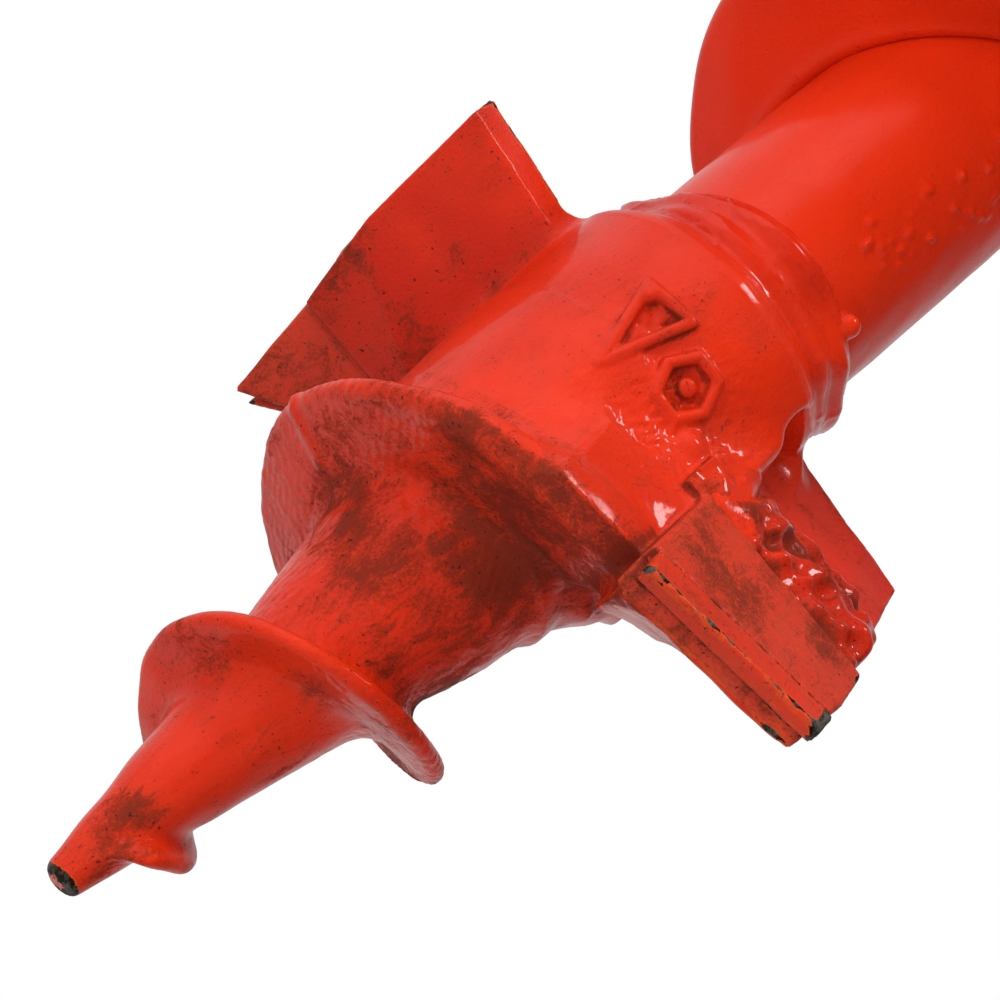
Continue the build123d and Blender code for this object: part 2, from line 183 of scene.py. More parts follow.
SLOPES = {"right": (1, 32.2, 69.5, radians(52.3)), "left": (-1, 29.9, 70.0, radians(53.9))}
WING_LENGTH = 52.5
PLATE_INNER = 8.0            # hidden in the hub
PLATE_START = 16.0           # up the slope
CUTTER_INNER = 15.0
BAR_INNER = 16.0
GROOVE_R = 0.55
PLATE_T = 4.5
CUTTER_T = 5.0
BAR_WIDTH = 5.2
BAR_T = 2.6
WELD_REACH = 18.0
WING_ENDS = {
    "right": [(43.4, -1.6), (44.4, 9.0), (43.6, 30.0), (42.0, WING_LENGTH)],
    "left": [(35.1, 0.4), (37.4, 17.0), (40.2, 30.0), (41.6, WING_LENGTH)],
}
INNER_LEAD = {"right": -8.0, "left": 13.0}
TRAIL = {"right": 17.5, "left": 24.0}
WING_TOP = {"right": (60.5, 54.0), "left": (48.5, 52.7)}      # at the hub, at the outer end
TOP_SLANT = {"right": 0.0, "left": 0.62}                     # of the plate's top end, per mm of depth
BEVEL_END = {"right": ((14.0, 28.0), (42.0, 28.0)), "left": ((19.0, 20.0), (41.0, 28.5))}
BAR_PROUD = {"right": 1.0, "left": -2.5}                     # the left bar's end is worn away
# the right arm's front line along the cutting edge, the line of the flight's rim, and how the
# arm's underside leans back: (outward, up the slope) twice, then (outward, lean)
ARM_FRONT = [(16.0, -8.4), (43.4, -2.3)]
RIM_FRONT = [(3.6, 0.2), (15.0, 2.5), (25.0, 5.0)]
ARM_LEAN = [(15.5, 1.0), (21.0, 1.6), (26.0, 1.9), (30.0, 2.05)]
ARM_INNER = 16.2
ARM_DEPTH = 9.0
SHOULDER_CORNER = 8.5        # where the shoulder starts to lap over the cutter's inner end
SHOULDER_PEAK = 17.5         # up the slope, where it reaches furthest over the cutter
SHOULDER_TOP = 38.0
SHOULDER_FOOT = [(3.6, 3.4), (10.2, 4.2), (15.0, 5.6), (17.0, 5.8)]   # just behind the flight's rim

# balls of spatter: azimuth, height, radius, middle's distance from the axis
HUB_SPATTER = [(-65.3, 91.5, 1.35, 21.6), (-112.0, 100.7, 1.0, 21.7)]
TUBE_SPATTER = (-51.7, 123.4, 1.7, 17.8)

slow_lumps = Lumps(14.0, 3)
paint_lumps = Lumps(7.0, 5)
grit = Lumps(1.6, 7, waves=18)
weld_lumps = Lumps(5.2, 13, waves=14)
folds = Lumps(12.0, 17, waves=12, stretch=(1.2, 1.2, 0.6))
creases = Lumps(9.0, 19, waves=8, stretch=(1.3, 1.3, 0.7))


def end_x(side, along):
    """How far out the wing's end stands, at a place up its slope."""
    points = WING_ENDS[side]
    for (x0, q0), (x1, q1) in zip(points, points[1:]):
        if along <= q1:
            return x0 + (x1 - x0) * (along - q0) / (q1 - q0)
    return points[-1][0]


def wing_axes(side, x, y, t):
    """Outward, up the slope and out of the upper face."""
    sign, lead, height, slope = SLOPES[side]
    dy = y + sign * lead
    dt = t - height
    return sign * x, dy * (sign * cos(slope)) + dt * sin(slope), dt * cos(slope) - dy * (sign * sin(slope))


def screw_field(r, az, t):
    """The pilot's screw flight, which fades out where it reaches the hub's foot."""
    offset = -wrap(az - (PHASE + t * (tau / PITCH))) * (PITCH / tau)
    level = t - offset
    rim = RIM_BASE + RIM_GROWTH * level
    rim = np.minimum(rim, 2.6 + 1.45 * np.maximum(level - 5.6, -3.0))
    rim = rim * (1.0 - smooth_step(level, *RIM_FADE)) - 3.0 * smooth_step(level, 74.0, 75.2)
    across = offset / np.sqrt(1.0 + (PITCH / (tau * np.maximum(r, 2.0))) ** 2)
    # the flight is thickest at its root
    inward = np.clip((rim - r) / 9.0, 0.0, 1.0)
    half = 0.85 + 0.009 * level + 1.1 * inward
    reach = np.maximum(r - (rim - 0.9), 0.0)
    return (np.sqrt(reach ** 2 + across ** 2) - half) * 0.95


MARK_AZIMUTH = -93.5
MARK_HEIGHT = 96.3
MARK_BEAD = 0.85
MARK_SUNK = 0.5
TRIANGLE = [(0.0, -7.2), (3.7, 5.6), (-3.7, 5.6)]
HEXAGON = [(3.9 * cos(k * pi / 3), 4.6 * sin(k * pi / 3)) for k in range(6)]


def mark_field(r, az, t, hub_r):
    """A raised foundry mark: a triangle beside a hexagon with a dot."""
    u = wrap(az - radians(MARK_AZIMUTH)) * 21.4
    v = t - MARK_HEIGHT
    triangle = stroke(u + 4.6, v, TRIANGLE, closed=True)
    hexagon = stroke(u - 4.9, v + 0.6, HEXAGON, closed=True)
    dot = np.hypot(u - 4.9, v + 0.6) - 0.5
    flat = np.minimum(np.minimum(triangle, hexagon), dot)
    floors = np.minimum(polygon(u + 4.6, v, TRIANGLE), polygon(u - 4.9, v + 0.6, HEXAGON))
    sunk = smooth_step(-floors, 0.2, 1.4) * (1.0 - smooth_step(np.abs(r - hub_r), 3.0, 5.0))
    return np.sqrt(flat ** 2 + (r - hub_r - 0.25) ** 2) - MARK_BEAD, sunk


def arm_field(side, u, q, n, above):
    """The support under a cutting edge, running down to the end of the pilot's flight."""
    if side == "left":
        flat = np.maximum(np.maximum(9.0 - q, q - 17.0), np.maximum(u - 19.0, 2.0 - u))
        return np.maximum(np.maximum(flat, n), -2.5 - n)
    front_q = np.interp(u, *zip(*ARM_FRONT)).astype(np.float32)
    rim_q = np.interp(u, *zip(*RIM_FRONT)).astype(np.float32)
    lean = np.interp(u, *zip(*ARM_LEAN)).astype(np.float32)
    ahead = smooth_max((front_q - lean * n - q) * 0.5, (front_q - q) * 0.9, 1.0)
    ahead = smooth_max(ahead, ARM_INNER - u, 1.0)
    front = smooth_min(ahead, (rim_q - n - q) * 0.65, 1.0)
    outer = (u - 42.8 - 1.6 * n) * 0.53
    wedge = smooth_max(smooth_max(front, outer, 1.2), np.maximum(q - 16.0 + 0.45 * n, n), 0.6)
    wedge = np.maximum(wedge, np.maximum(-ARM_DEPTH - n, 2.0 - u))
    # the shoulder fills the corner between hub, flight and the cutter's inner end
    crown = 4.3 - 0.47 * np.maximum(17.0 - u, 0.0) + 0.9 * smooth_step(q, 6.0, 14.0)
    reach = 16.8 + np.maximum(q - SHOULDER_CORNER, 0.0) / 1.19
    reach = np.minimum(reach, 24.4 - 0.48 * (q - SHOULDER_PEAK))
    foot_q = np.interp(u, *zip(*SHOULDER_FOOT)).astype(np.float32)
    front = (foot_q + 1.1 * (n + 2.0) - q) * 0.65
    front = smooth_max(front, -0.8 - above, 1.0)
    shoulder = smooth_max(smooth_max(n - crown, front, 8.0), (u - reach) * 0.75, 1.6)
    shoulder = np.maximum(shoulder, np.maximum(np.maximum(q - SHOULDER_TOP, 2.0 - u), -4.0 - n))
    return smooth_min(wedge, shoulder, 1.5)


def spatter(x, y, t, azimuth, height, radius, on):
    """A ball of spatter, with its middle at a distance from the axis."""
    a = radians(azimuth)
    cx, cy = on * cos(a), on * sin(a)
    return np.sqrt((x - cx) ** 2 + (y - cy) ** 2 + (t - height) ** 2) - radius


def head_parts(x, y, t):
    """Signed distances of the head's pieces, and of the painted skin over all of them."""
    r = np.hypot(x, y)
    az = np.arctan2(y, x)
    parts = {}

    core_r = np.interp(t, *zip(*PILOT_CORE)).astype(np.float32)
    core = smooth_max((r - core_r) * 0.985, -t, 1.4)
    core = np.maximum(core, t - 100.0)
    screw = screw_field(r, az, t)
    pilot = smooth_min(core, screw, 1.5 + 1.7 * smooth_step(t, 14.0, 40.0))
    # a seam in the forging, across the underside of the upper flight
    seam = np.abs(wrap(az - radians(-172.0)) * r) - 0.1
    on_flight = smooth_step(t, 57.0, 60.0) * smooth_step(r, 17.0, 19.0)
    pilot = pilot - 0.45 * np.exp(-((seam / 0.8) ** 2)) * on_flight
    pilot = pilot - 0.08 * paint_lumps(x, y, t) - 0.05 * slow_lumps(x, y, t)
    worn = smooth_step(t, 26.0, 46.0) * (1.0 - smooth_step(t, 66.0, 72.0))
    pilot = pilot - 0.05 * worn * grit(x, y, t)

    hub_r = np.interp(t, *zip(*HUB)).astype(np.float32)
    hub = np.maximum(smooth_max((r - hub_r) * 0.95, t - HUB_TOP - 0.6, 1.5), 68.0 - t)
    hub = hub - 0.16 * slow_lumps(x, y, t) - 0.4 * bump(t, 111.9, 1.1)
    # the casting is open beside each wing plate, where the tube shows
    pocket_out, pocket_height, pocket_r = POCKET
    for azimuth in POCKET_AZIMUTHS:
        a = radians(azimuth)
        out = x * cos(a) + y * sin(a)
        across = y * cos(a) - x * sin(a)
        pocket = ((out - pocket_out) / 1.1) ** 2 + across ** 2 + ((t - pocket_height) / 1.25) ** 2
        pocket = np.sqrt(pocket) - pocket_r
        hub = smooth_max(hub, -pocket, 1.8)
    # the hub's foot spreads down to the rim of the flight below it
    level = PILOT_TOP + wrap(az - radians(RIM_END_AZIMUTH)) * (PITCH / tau)
    rim = RIM_BASE + RIM_GROWTH * level
    ahead = np.degrees(az)
    window = smooth_step(ahead, -128.0, -92.0) * (1.0 - smooth_step(ahead, -45.0, -22.0))
    fall = np.clip(1.0 - (t - level - 1.0) / FOOT_HEIGHT, 0.0, 1.0)
    foot_r = FOOT_R + (rim - FOOT_INSET - FOOT_R) * fall ** 1.15 * window
    foot = np.maximum((r - foot_r) * 0.82, np.maximum(level + 0.2 - t, t - FOOT_TOP))
    hub = smooth_min(hub, foot, 2.5)
    # the rim itself is rolled over, up to where it meets the cutter
    rolled = smooth_step(ahead, -140.0, -112.0) * (1.0 - smooth_step(ahead, -66.0, -55.0))
    roll = np.hypot(r - rim + 0.6, t - level - 0.3) - ROLL_R * rolled
    hub = smooth_min(hub, roll * 0.95 + 2.0 * (1.0 - rolled), 0.7)
    # pitted skin between the mark and the right wing
    pitted = bump(wrap(az + radians(64.0)) * 21.0, 0.0, 6.5) * bump(t, 86.0, 7.5)
    around = bump(wrap(az - radians(MARK_AZIMUTH)) * 21.0, 2.0, 13.0) * bump(t, MARK_HEIGHT, 10.0)
    mark, sunk = mark_field(r, az, t, hub_r)
    hub = hub + MARK_SUNK * sunk - (0.20 * pitted + 0.07 * around + 0.12 * sunk) * grit(x, y, t)
    hub = smooth_min(hub, mark, 0.6)
    for ball in HUB_SPATTER:
        hub = smooth_min(hub, spatter(x, y, t, *ball), 0.8)

    arms = {}
    for side in SLOPES:
        u, q, n = wing_axes(side, x, y, t)
        arms[side] = arm_field(side, u, q, n, t - level) - 0.1 * paint_lumps(x, y, t)
        lead, trail = INNER_LEAD[side], TRAIL[side]
        outer_x, outer_lead = WING_ENDS[side][0]

        inner_top, outer_top = WING_TOP[side]
        plate_corners = [
            (PLATE_INNER, PLATE_START),
            (end_x(side, PLATE_START), PLATE_START),
            (end_x(side, 30.0), 30.0),
            (end_x(side, WING_LENGTH), outer_top),
            (PLATE_INNER, inner_top),
        ]
        flat = polygon(u, q, plate_corners)
        span = end_x(side, WING_LENGTH) - PLATE_INNER
        top = inner_top + (outer_top - inner_top) * (u - PLATE_INNER) / span
        flat = np.maximum(flat, (q - top - TOP_SLANT[side] * n) * 0.85)
        (u0, q0), (u1, q1) = BEVEL_END[side]
        bevel_end = q0 + (q1 - q0) * np.clip((u - u0) / (u1 - u0), 0.0, 1.0)
        under = -PLATE_T + 3.1 * np.clip((bevel_end - q) / (bevel_end - 15.0), 0.0, 1.0)
        plate = rounded(flat, np.maximum(n, under - n), 0.55)
        plate = plate - 0.10 * slow_lumps(x, y, t)
        parts["wing_plate_" + side] = plate

        cutter_corners = [
            (CUTTER_INNER, lead - 0.2),
            (outer_x, outer_lead),
            (end_x(side, 8.0), 8.0),
            (end_x(side, trail), trail),
            (CUTTER_INNER, trail),
        ]
        flat = polygon(u, q, cutter_corners)
        body = rounded(flat, np.abs(n - CUTTER_T / 2) - CUTTER_T / 2, 0.6)
        run = (outer_lead - lead) / (outer_x - 17.0)
        edge_q = lead + run * (u - 17.0)
        seat = np.maximum(q - edge_q - BAR_WIDTH, (CUTTER_T - BAR_T) - n)
        # a painted-over groove runs along the lip under the bar
        groove = np.hypot(q - edge_q + 0.1, n - 2.0) - GROOVE_R
        body = smooth_max(body, -seat, 0.5)
        body = smooth_max(body, -groove, 0.5)
        parts["cutter_plate_" + side] = body - 0.06 * paint_lumps(x, y, t)

        bar_x = outer_x + BAR_PROUD[side]
        bar_corners = [
            (BAR_INNER, lead - 0.6),
            (bar_x, outer_lead - 0.3),
            (bar_x, outer_lead + BAR_WIDTH),
            (BAR_INNER, lead + BAR_WIDTH - 0.3),
        ]
        bar = rounded(polygon(u, q, bar_corners), np.abs(n - CUTTER_T + BAR_T / 2 - 0.1) - BAR_T / 2, 0.7)
        parts["wear_bar_" + side] = bar - 0.05 * paint_lumps(x, y, t)

        along = (q - trail) / WELD_REACH
        crest = 1.6 + 3.4 * np.sin(pi * np.clip(0.18 + 0.75 * along, 0.0, 1.0))
        crest = crest + 0.9 * weld_lumps(x, y, t)
        bead = np.maximum(n - crest, np.maximum(trail - 0.6 - q, -0.6 - n)) * 0.8
        bead = smooth_max(bead, u - end_x(side, trail + 8.0) + 0.3, 3.0)
        bead = np.maximum(bead, 12.0 - u)
        parts["cutter_weld_" + side] = smooth_max(bead, q - trail - WELD_REACH - 1.0, 1.5)

    # the weld collar, whose upper edge wanders round the tube
    rise = 1.7 * bump(wrap(az - radians(-96.0)), 0.0, 0.75)
    dip = 2.2 * bump(wrap(az - radians(-162.0)), 0.0, 0.55)
    wander = (rise - dip) * smooth_step(t, 113.0, 119.0)
    collar_r = np.interp(t - wander, *zip(*COLLAR)).astype(np.float32)
    crease = np.maximum(0.0, 1.0 - np.abs(creases(x, y, t)) / 0.22)
    sweep = 0.60 * folds(x, y, t) + 0.14 * crease
    sweep = sweep + 0.5 * bump(t - wander, 119.8, 1.1) - 0.4 * bump(t - wander, 117.2, 1.1)
    sweep = sweep - 0.5 * bump(t, 114.6, 0.9)
    band = smooth_step(t, 111.5, 114.0) * (1.0 - smooth_step(t - wander, 120.5, 122.5))
    collar = (r - collar_r - sweep * band) * 0.9
    collar = np.maximum(np.maximum(collar, t - 128.0), 108.0 - t)
    # a ball of spatter above it
    collar = smooth_min(collar, spatter(x, y, t, *TUBE_SPATTER), 0.6)
    parts["hub_weld"] = collar

    casting = smooth_min(hub, smooth_min(arms["right"], arms["left"], 1.0), 6.5)
    # a fin of flash left on the forging, in the corner under the right arm
    fx, fy, ft = FIN_SPOT
    fin = np.sqrt(((x - fx) / 1.6) ** 2 + ((y - fy) / 1.6) ** 2 + ((t - ft) / 0.7) ** 2) - FIN_REACH
    casting = smooth_min(casting, fin * 0.75, 1.5)
    parts["pilot_point"] = pilot
    parts["head_casting"] = casting

    skin = smooth_min(pilot, casting, 4.0)
    for side in SLOPES:
        plate = parts["wing_plate_" + side]
        cutter = smooth_min(parts["cutter_plate_" + side], parts["wear_bar_" + side], 0.35)
        bead = parts["cutter_weld_" + side]
        wing = smooth_min(plate, cutter, 0.8)
        wing = smooth_min(wing, bead, 1.6)
        skin = np.minimum(smooth_min(skin, wing, 0.9), smooth_min(hub, wing, 3.4))
    skin = smooth_min(skin, collar, 1.2)
    return skin, parts


def part_regions(t, parts):
    """The pilot and the hub are one casting skin: they part at a level cut."""
    shape = dict(parts)
    both = np.minimum(parts["pilot_point"], parts["head_casting"])
    cut = t - PILOT_TOP
    shape["pilot_point"] = np.maximum(both, cut)
    shape["head_casting"] = np.maximum(both, -cut)
    return shape


def region(name, shape):
    """Negative where this piece is the nearest."""
    rival = None
    for other, distance in shape.items():
        if other != name:
            rival = distance if rival is None else np.minimum(rival, distance)
    return (shape[name] - rival) * 0.5


MIDDLE_TURN = 69.4 - PITCH      # height of the middle turn of the pilot's flight at the front
SLEEVE_DROP = 0.03
SLEEVE_REACH = 1.2


def piece_field(skin, near):
    """The skin where the piece is nearest, and a thin sleeve under its neighbours' skin."""
    return np.minimum(np.maximum(skin, near), np.maximum(skin + SLEEVE_DROP, near - SLEEVE_REACH))


def lattice(low, high, step):
    return [np.arange(a, b + step, step, dtype=np.float32) for a, b in zip(low, high)]


def surface(field, low, step):
    """The zero surface of a field on a lattice, as points and quads."""
    grid = vdb.FloatGrid(step * 3.0)
    grid.copyFromArray(np.ascontiguousarray(field, dtype=np.float32))
    points, triangles, quads = grid.convertToPolygons(isovalue=0.0, adaptivity=0.0)
    return points.astype(np.float32) * step + np.array(low, np.float32), quads


def gradient(function, points, step=0.05):
    """The function's slope at each point, by differences."""
    columns = []
    for axis in range(3):
        shift = np.zeros(3, np.float32)
        shift[axis] = step
        ahead = function(*(points + shift).T)
        behind = function(*(points - shift).T)
        columns.append((ahead - behind) / (2 * step))
    return np.stack(columns, axis=1)


def settle(function, points, limit):
    """Moves points along the gradient onto the function's zero surface."""
    for _ in range(PROJECT_STEPS):
        slope = gradient(function, points)
        size = np.maximum((slope ** 2).sum(1), 0.15)
        step = (function(*points.T) / size)[:, None] * slope
        length = np.linalg.norm(step, axis=1)[:, None]
        points = points - step * np.minimum(1.0, limit / np.maximum(length, 1e-6))
    return points.astype(np.float32)


def new_mesh(name, points, faces, normals=None):
    """A piece's mesh object, in metres."""
    mesh = bpy.data.meshes.new(name)
    mesh.vertices.add(len(points))
    mesh.vertices.foreach_set("co", place(points).astype(np.float32).ravel())
    width = faces.shape[1]
    mesh.loops.add(faces.size)
    mesh.loops.foreach_set("vertex_index", faces.astype(np.int32).ravel())
    mesh.polygons.add(len(faces))
    mesh.polygons.foreach_set("loop_start", np.arange(0, faces.size, width, dtype=np.int32))
    mesh.polygons.foreach_set("use_smooth", np.full(len(faces), True))
    mesh.update(calc_edges=True)
    mesh.validate()
    if normals is not None:
        mesh.normals_split_custom_set_from_vertices(normals.astype(np.float32))
    piece = bpy.data.objects.new(name, mesh)
    bpy.context.scene.collection.objects.link(piece)
    return piece


def point_values(piece, name, values):
    layer = piece.data.attributes.new(name, "FLOAT", "POINT")
    layer.data.foreach_set("value", np.asarray(values, np.float32))


def skin_only(x, y, t):
    return head_parts(x, y, t)[0]


def skin_shade_and_wear(points, normals):
    """How deep in a corner each point of the head lies, for painted shade in the corners, and how sharp an
    edge it sits on, for chipped paint.
    """
    cavity_shade = 1.0 - skin_only(*(points + normals * 3.0).T) / 3.0
    edge = 1.0 + skin_only(*(points - normals * 1.3).T) / 1.3
    edge = np.clip(edge, 0, 1) + knocked(*points.T)
    return np.clip(cavity_shade, 0, 1), edge


def knocked(x, y, t):
    """Where the paint has been knocked off, besides the edges in general."""
    r = np.hypot(x, y)
    az = np.arctan2(y, x)
    level = MIDDLE_TURN + wrap(az - radians(-90.0)) * (PITCH / tau)
    rim = RIM_BASE + RIM_GROWTH * level
    line = bump(r, rim - 1.5, 0.55) * bump(t, level - 1.0, 1.4) * bump(np.degrees(az), -82.0, 34.0)
    out = 0.75 * line + 1.2 * smooth_step(t, 1.9, 0.7)
    for side in SLOPES:
        u, q, n = wing_axes(side, x, y, t)
        on = smooth_step(np.abs(n), 9.0, 6.0)
        if side == "right":
            out = out + 1.1 * smooth_step(u, 42.3, 43.6) * bump(q, 1.0, 3.0) * smooth_step(n, 2.0, 3.4)
            lead = -8.0 + 0.2424 * (u - 17.0)
            out = out + 0.20 * smooth_step(np.abs(q - lead - 2.0), 3.0, 1.5) * on
            out = out + 0.50 * bump(q, lead + 0.2, 0.8) * bump(n, 4.7, 0.9)
            out = out + 0.9 * bump(u, 43.9, 0.9) * bump(q, 15.6, 1.7) * smooth_step(n, 0.5, 2.0)
        else:
            out = out + 0.22 * smooth_step(u, 34.0, 40.0) * on
            out = out + 0.30 * bump(q, 17.0, 1.8) * smooth_step(u, 29.0, 36.0) * on
    return out


# where soil has stayed on the head: azimuth, height, spread round, spread up, how much
SOIL_PATCHES = [
    (-79.0, 50.0, 11.0, 9.0, 0.26),
    (-72.0, 62.0, 12.0, 6.0, 0.28),
    (-150.0, 56.0, 8.0, 7.0, 0.30),
    (-107.0, 68.0, 16.0, 4.0, 0.35),
    (-120.0, 84.0, 10.0, 4.0, 0.2),
    (-64.0, 87.0, 8.0, 8.0, 0.20),
    (-93.0, 96.0, 11.0, 6.0, 0.22),
    (-60.0, 74.0, 9.0, 6.0, 0.35),
    (-100.0, 10.0, 5.0, 5.0, 0.3),
    (100.0, 60.0, 14.0, 8.0, 0.4),
    (30.0, 50.0, 12.0, 8.0, 0.4),
    (80.0, 92.0, 14.0, 9.0, 0.3),
]
SOIL_BASE = {"pilot": 0.31, "head": 0.15, "wing": 0.28, "cutter": 0.43, "wear": 0.24, "hub": 0.04}
soil_cloud = Lumps(13.0, 61, waves=16)
soil_streaks = Lumps(4.0, 67, waves=16, stretch=(2.5, 1.0, 1.0))


def skin_soil(points, normals, base):
    """How much soil has stayed at each point of the head, 0 to 1."""
    x, y, t = points.T
    r = np.hypot(x, y)
    az = np.arctan2(y, x)
    soil = base + 0.12 * soil_cloud(x, y, t) + 0.07 * soil_streaks(x, y, t)
    # above the pilot it has been washed off the faces that look up
    stays = 1.0 - 0.85 * smooth_step(normals[:, 2], -0.25, 0.15) * smooth_step(t, 62.0, 70.0)
    for azimuth, height, wide, tall, much in SOIL_PATCHES:
        soil = soil + stays * much * bump(wrap(az - radians(azimuth)) * r, 0.0, wide) * bump(t, height, tall)
    u, q, n = wing_axes("left", x, y, t)
    band = smooth_step(q, 15.5, 17.0) * smooth_step(q, 28.0, 25.0) * smooth_step(np.abs(n), 6.0, 5.0)
    soil = soil + 0.22 * band * smooth_step(u, 18.0, 22.0)
    return np.clip(soil, 0.0, 1.0)


def head_pieces():
    low = (-50.0, -45.0, -2.0)
    high = (50.0, 45.0, 133.0)
    xs, ys, ts = lattice(low, high, VOXEL)
    names = None
    for start in range(0, len(ts), 24):
        grid = np.meshgrid(xs, ys, ts[start:start + 24], indexing="ij")
        skin, parts = head_parts(*grid)
        shape = part_regions(grid[2], parts)
        if names is None:
            names = list(shape)
            fields = {name: np.empty((len(xs), len(ys), len(ts)), np.float32) for name in names}
        for name in names:
            fields[name][:, :, start:start + 24] = piece_field(skin, region(name, shape))
    made = {}
    for name in names:
        points, quads = surface(fields.pop(name), low, VOXEL)

        def own_field(x, y, t):
            skin, parts = head_parts(x, y, t)
            return piece_field(skin, region(name, part_regions(t, parts)))

        points = settle(own_field, points, VOXEL * 0.5)
        normals = gradient(skin_only, points)
        normals /= np.maximum(np.linalg.norm(normals, axis=1)[:, None], 1e-6)
        inside = skin_only(*points.T) < -0.25
        piece = new_mesh(name + "_skin", points, quads)
        own = np.array([v.normal[:] for v in piece.data.vertices])
        normals[inside] = own[inside]
        facing = (normals * own).sum(1)
        normals[facing < 0.3] = own[facing < 0.3]
        piece.data.normals_split_custom_set_from_vertices(normals.astype(np.float32))
        # the corner depth drives painted shade in the corners; the edge sharpness drives chipped paint
        cavity_shade, edge = skin_shade_and_wear(points, normals.astype(np.float32))
        point_values(piece, "cavity_shade", cavity_shade)
        point_values(piece, "edge", edge)
        point_values(piece, "soil", skin_soil(points, normals, SOIL_BASE[name.split("_")[0]]))
        print("piece", name, len(points), len(quads))
        made[name] = piece
    return made


# ------------------------------------------------------------------ materials
def node_material(name):
    material = bpy.data.materials.new(name)
    material.use_nodes = True
    tree = material.node_tree
    tree.nodes.clear()
    return material, tree


class Nodes:
    """Short calls for building a node tree."""

    def __init__(self, tree):
        self.tree = tree

    def add(self, kind, **settings):
        node = self.tree.nodes.new(kind)
        for key, value in settings.items():
            setattr(node, key, value)
        return node

    def link(self, out, into):
        self.tree.links.new(out, into)

    def feed(self, socket, value):
        if hasattr(value, "is_output"):
            self.link(value, socket)
        else:
            socket.default_value = value

    def math(self, operation, a, b=0.0, c=0.0, clamp=False):
        node = self.add("ShaderNodeMath", operation=operation, use_clamp=clamp)
        for socket, value in zip(node.inputs, (a, b, c)):
            self.feed(socket, value)
        return node.outputs[0]

    def plus(self, a, b, clamp=False):
        return self.math("ADD", a, b, clamp=clamp)

    def times(self, a, b):
        return self.math("MULTIPLY", a, b)

    def ramp(self, value, low, high, to_low=0.0, to_high=1.0):
        node = self.add("ShaderNodeMapRange", interpolation_type="SMOOTHSTEP")
        for key, number in (("From Min", low), ("From Max", high), ("To Min", to_low), ("To Max", to_high)):
            node.inputs[key].default_value = number
        self.feed(node.inputs["Value"], value)
        return node.outputs["Result"]

    def mix(self, share, a, b):
        node = self.add("ShaderNodeMix", data_type="RGBA")
        self.feed(node.inputs["Factor"], share)
        for socket, value in ((node.inputs[6], a), (node.inputs[7], b)):
            self.feed(socket, value if hasattr(value, "is_output") else (*value, 1.0))
        return node.outputs[2]

    def place(self, scale=(1.0, 1.0, 1.0), turn=(0.0, 0.0, 0.0)):
        coords = self.add("ShaderNodeTexCoord")
        mapping = self.add("ShaderNodeMapping")
        mapping.inputs["Scale"].default_value = scale
        mapping.inputs["Rotation"].default_value = turn
        self.link(coords.outputs["Object"], mapping.inputs["Vector"])
        return mapping.outputs["Vector"]

    def noise(self, where, scale, detail=4.0, rough=0.55, warp=0.0):
        node = self.add("ShaderNodeTexNoise")
        self.link(where, node.inputs["Vector"])
        node.inputs["Scale"].default_value = scale
        node.inputs["Detail"].default_value = detail
        node.inputs["Roughness"].default_value = rough
        node.inputs["Distortion"].default_value = warp
        return node.outputs["Fac"]

    def attribute(self, name):
        return self.add("ShaderNodeAttribute", attribute_name=name).outputs["Fac"]

    def relief(self, height, strength, depth, shader):
        node = self.add("ShaderNodeBump")
        node.inputs["Strength"].default_value = strength
        node.inputs["Distance"].default_value = depth
        self.link(height, node.inputs["Height"])
        self.link(node.outputs["Normal"], shader.inputs["Normal"])

    def finish(self, shader):
        out = self.add("ShaderNodeOutputMaterial")
        self.link(shader, out.inputs["Surface"])


BRIGHT = (0.84, 0.031, 0.0028)
DEEP = (0.60, 0.014, 0.0010)
# brown of soil, also laid on as painted shade in the corners
SOIL_BROWN_AND_SHADE = (0.125, 0.021, 0.009)
# dark red film of soil, also laid on as painted shade in the corners
SOIL_FILM_AND_SHADE = (0.38, 0.030, 0.009)
# pale pink of dust, also laid on as a painted sheen on faces that look down
DUST_PINK_AND_SHEEN = (0.50, 0.095, 0.050)
SOOT = (0.022, 0.010, 0.007)
STEEL = (0.17, 0.15, 0.13)
UNDERCOAT = (0.80, 0.085, 0.006)


